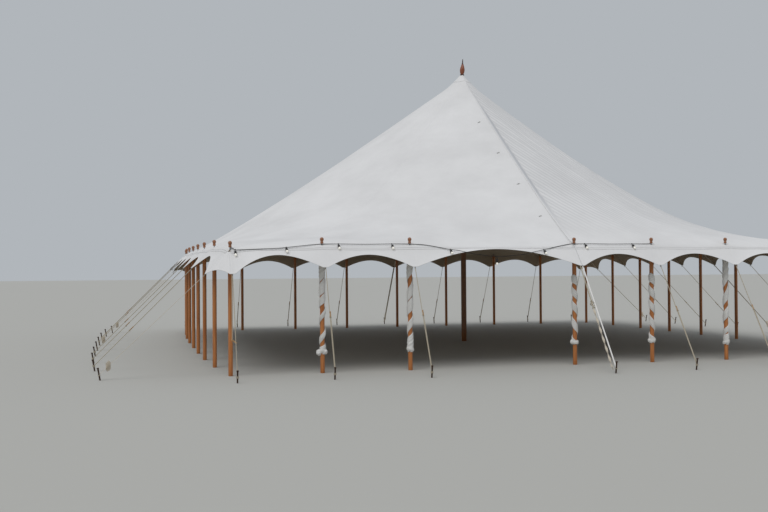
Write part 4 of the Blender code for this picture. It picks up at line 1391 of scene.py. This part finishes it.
class MARQUEE_OT_festoon(bpy.types.Operator):
    """Hang the string of lamps from knob to knob along the front"""
    bl_idname = "marquee.festoon"
    bl_label = "String of lamps"

    def execute(self, context):
        settings = context.scene.marquee_dressing
        rubber = plain_material("moulded_black_rubber", settings.cable, 0.6)
        opal = plain_material("opal_glass", settings.lamp, 0.25, emission_strength=0.25,
                              emission_color=(*settings.lamp, 1.0))
        route = [side_point("front", bays * BAY, out, EAVE_HEIGHT + over)
                 for bays, out, over in CABLE_ROUTE]
        path = smooth_path(route, CABLE_POINTS)
        line = bpy.data.curves.new("festoon_cable", "CURVE")
        line.dimensions = "3D"
        spline = line.splines.new("POLY")
        spline.points.add(len(path) - 1)
        for point, place in zip(spline.points, path):
            point.co = (*place, 1.0)
        line.bevel_depth = settings.cable_radius
        line.bevel_resolution = 4
        line.use_fill_caps = True
        line.materials.append(rubber)
        cable = new_object("festoon_cable", line)
        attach(cable, "root")
        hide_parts("festoon_string")
        holders = bmesh.new()
        bulbs = bmesh.new()
        holder_profile = ((0.0, -0.009), (0.008, -0.0085), (0.0115, -0.003), (0.0115, 0.006),
                          (0.0060, 0.014), (0.0040, 0.018), (0.0040, 0.040), (0.010, 0.044),
                          (0.0180, 0.050), (0.0205, 0.056), (0.0212, 0.100), (0.021, 0.108),
                          (0.0, 0.1085))
        bulb_profile = ((0.0, 0.106), (0.011, 0.1065), (0.013, 0.110), (0.0165, 0.117),
                        (0.0200, 0.125), (0.0212, 0.133), (0.0195, 0.143), (0.0150, 0.151),
                        (0.008, 0.1565), (0.0, 0.158))
        for place in LAMP_PLACES:
            along = place * BAY
            for start, end in zip(path[:-1], path[1:]):
                if start.x <= along <= end.x:
                    break
            top = start.lerp(end, (along - start.x) / (end.x - start.x))
            for group, profile in ((holders, holder_profile), (bulbs, bulb_profile)):
                drop = [(radius, distance * LAMP_SCALE) for radius, distance in profile]
                join(group, stand(turned(drop, Vector(), 20), lamp_axis(top), top))
        holder_piece = new_piece("lampholders", holders, [rubber],
                                 ["festoon_string"])
        bulb_piece = new_piece("lamps", bulbs, [opal], ["festoon_string"])
        path_length(path)
        return {"FINISHED"}


class MARQUEE_OT_stage(bpy.types.Operator):
    """Set the plain floor, the soft light and the camera"""
    bl_idname = "marquee.stage"
    bl_label = "Stage"

    def execute(self, context):
        settings = context.scene.marquee_stage
        scene = context.scene
        builder = bmesh.new()
        bmesh.ops.create_grid(builder, x_segments=8, y_segments=8, size=150.0)
        mesh = bpy.data.meshes.new("floor")
        builder.to_mesh(mesh)
        builder.free()
        mesh.materials.append(plain_material("plain_floor", settings.floor, 0.95, 2.0))
        floor = new_object("floor", mesh)

        world = bpy.data.worlds.new("even_sky")
        world.use_nodes = True
        sky = world.node_tree.nodes["Background"]
        sky.inputs["Color"].default_value = (*settings.sky, 1.0)
        sky.inputs["Strength"].default_value = 1.0
        scene.world = world
        sun = bpy.data.lights.new("soft_sun", "SUN")
        sun.energy = SUN_ENERGY
        sun.angle = math.radians(SUN_SPREAD)
        lamp = new_object("soft_sun", sun)
        lamp.rotation_euler = (*[math.radians(turn) for turn in SUN_TURNS], 0.0)

        view = bpy.data.cameras.new("photo_camera")
        view.lens = CAMERA_LENS
        view.sensor_width = 36.0
        view.clip_end = 400.0
        camera = new_object("photo_camera", view)
        pitch = math.radians(CAMERA_PITCH)
        roll = math.radians(CAMERA_ROLL)
        level = Vector((*CAMERA_HEADING, 0.0)).normalized()
        forward = level * math.cos(pitch) + UP * math.sin(pitch)
        right = forward.cross(UP).normalized()
        upward = right.cross(forward)
        tilted = upward * math.cos(roll) + right * math.sin(roll)
        across = right * math.cos(roll) - upward * math.sin(roll)
        turn = Matrix((across, tilted, -forward)).transposed().to_4x4()
        camera.matrix_world = Matrix.Translation(CAMERA_PLACE) @ turn
        scene.camera = camera
        scene.view_settings.view_transform = "Standard"
        return {"FINISHED"}


OPERATORS = (MARQUEE_OT_stage, MARQUEE_OT_festoon, MARQUEE_OT_roof, MARQUEE_OT_petals,
             MARQUEE_OT_lacing, MARQUEE_OT_side_poles, MARQUEE_OT_king_pole, MARQUEE_OT_guys,
             MARQUEE_OT_voile)


class MARQUEE_PT_pieces(bpy.types.Panel):
    """Lists the operators and settings of the marquee"""
    bl_label = "Marquee"
    bl_idname = "MARQUEE_PT_pieces"
    bl_space_type = "VIEW_3D"
    bl_region_type = "UI"
    bl_category = "Marquee"

    def draw(self, context):
        for kind in OPERATORS:
            self.layout.operator(kind.bl_idname)
        for name, group in SETTINGS:
            box = self.layout.box()
            for field in group.__annotations__:
                box.prop(getattr(context.scene, name), field)


def register():
    """Register the settings, operators and panel."""
    for name, group in SETTINGS:
        bpy.utils.register_class(group)
        setattr(bpy.types.Scene, name, PointerProperty(type=group))
    for kind in (*OPERATORS, MARQUEE_PT_pieces):
        bpy.utils.register_class(kind)


def unregister():
    """Remove what register added."""
    for kind in (MARQUEE_PT_pieces, *reversed(OPERATORS)):
        bpy.utils.unregister_class(kind)
    for name, group in reversed(SETTINGS):
        delattr(bpy.types.Scene, name)
        bpy.utils.unregister_class(group)


def main():
    """Build every piece in order."""
    register()
    for kind in OPERATORS:
        group, action = kind.bl_idname.split(".")
        result = getattr(getattr(bpy.ops, group), action)()
        if result != {"FINISHED"}:
            raise RuntimeError(f"{kind.bl_idname} did not finish")


if __name__ == "__main__":
    main()
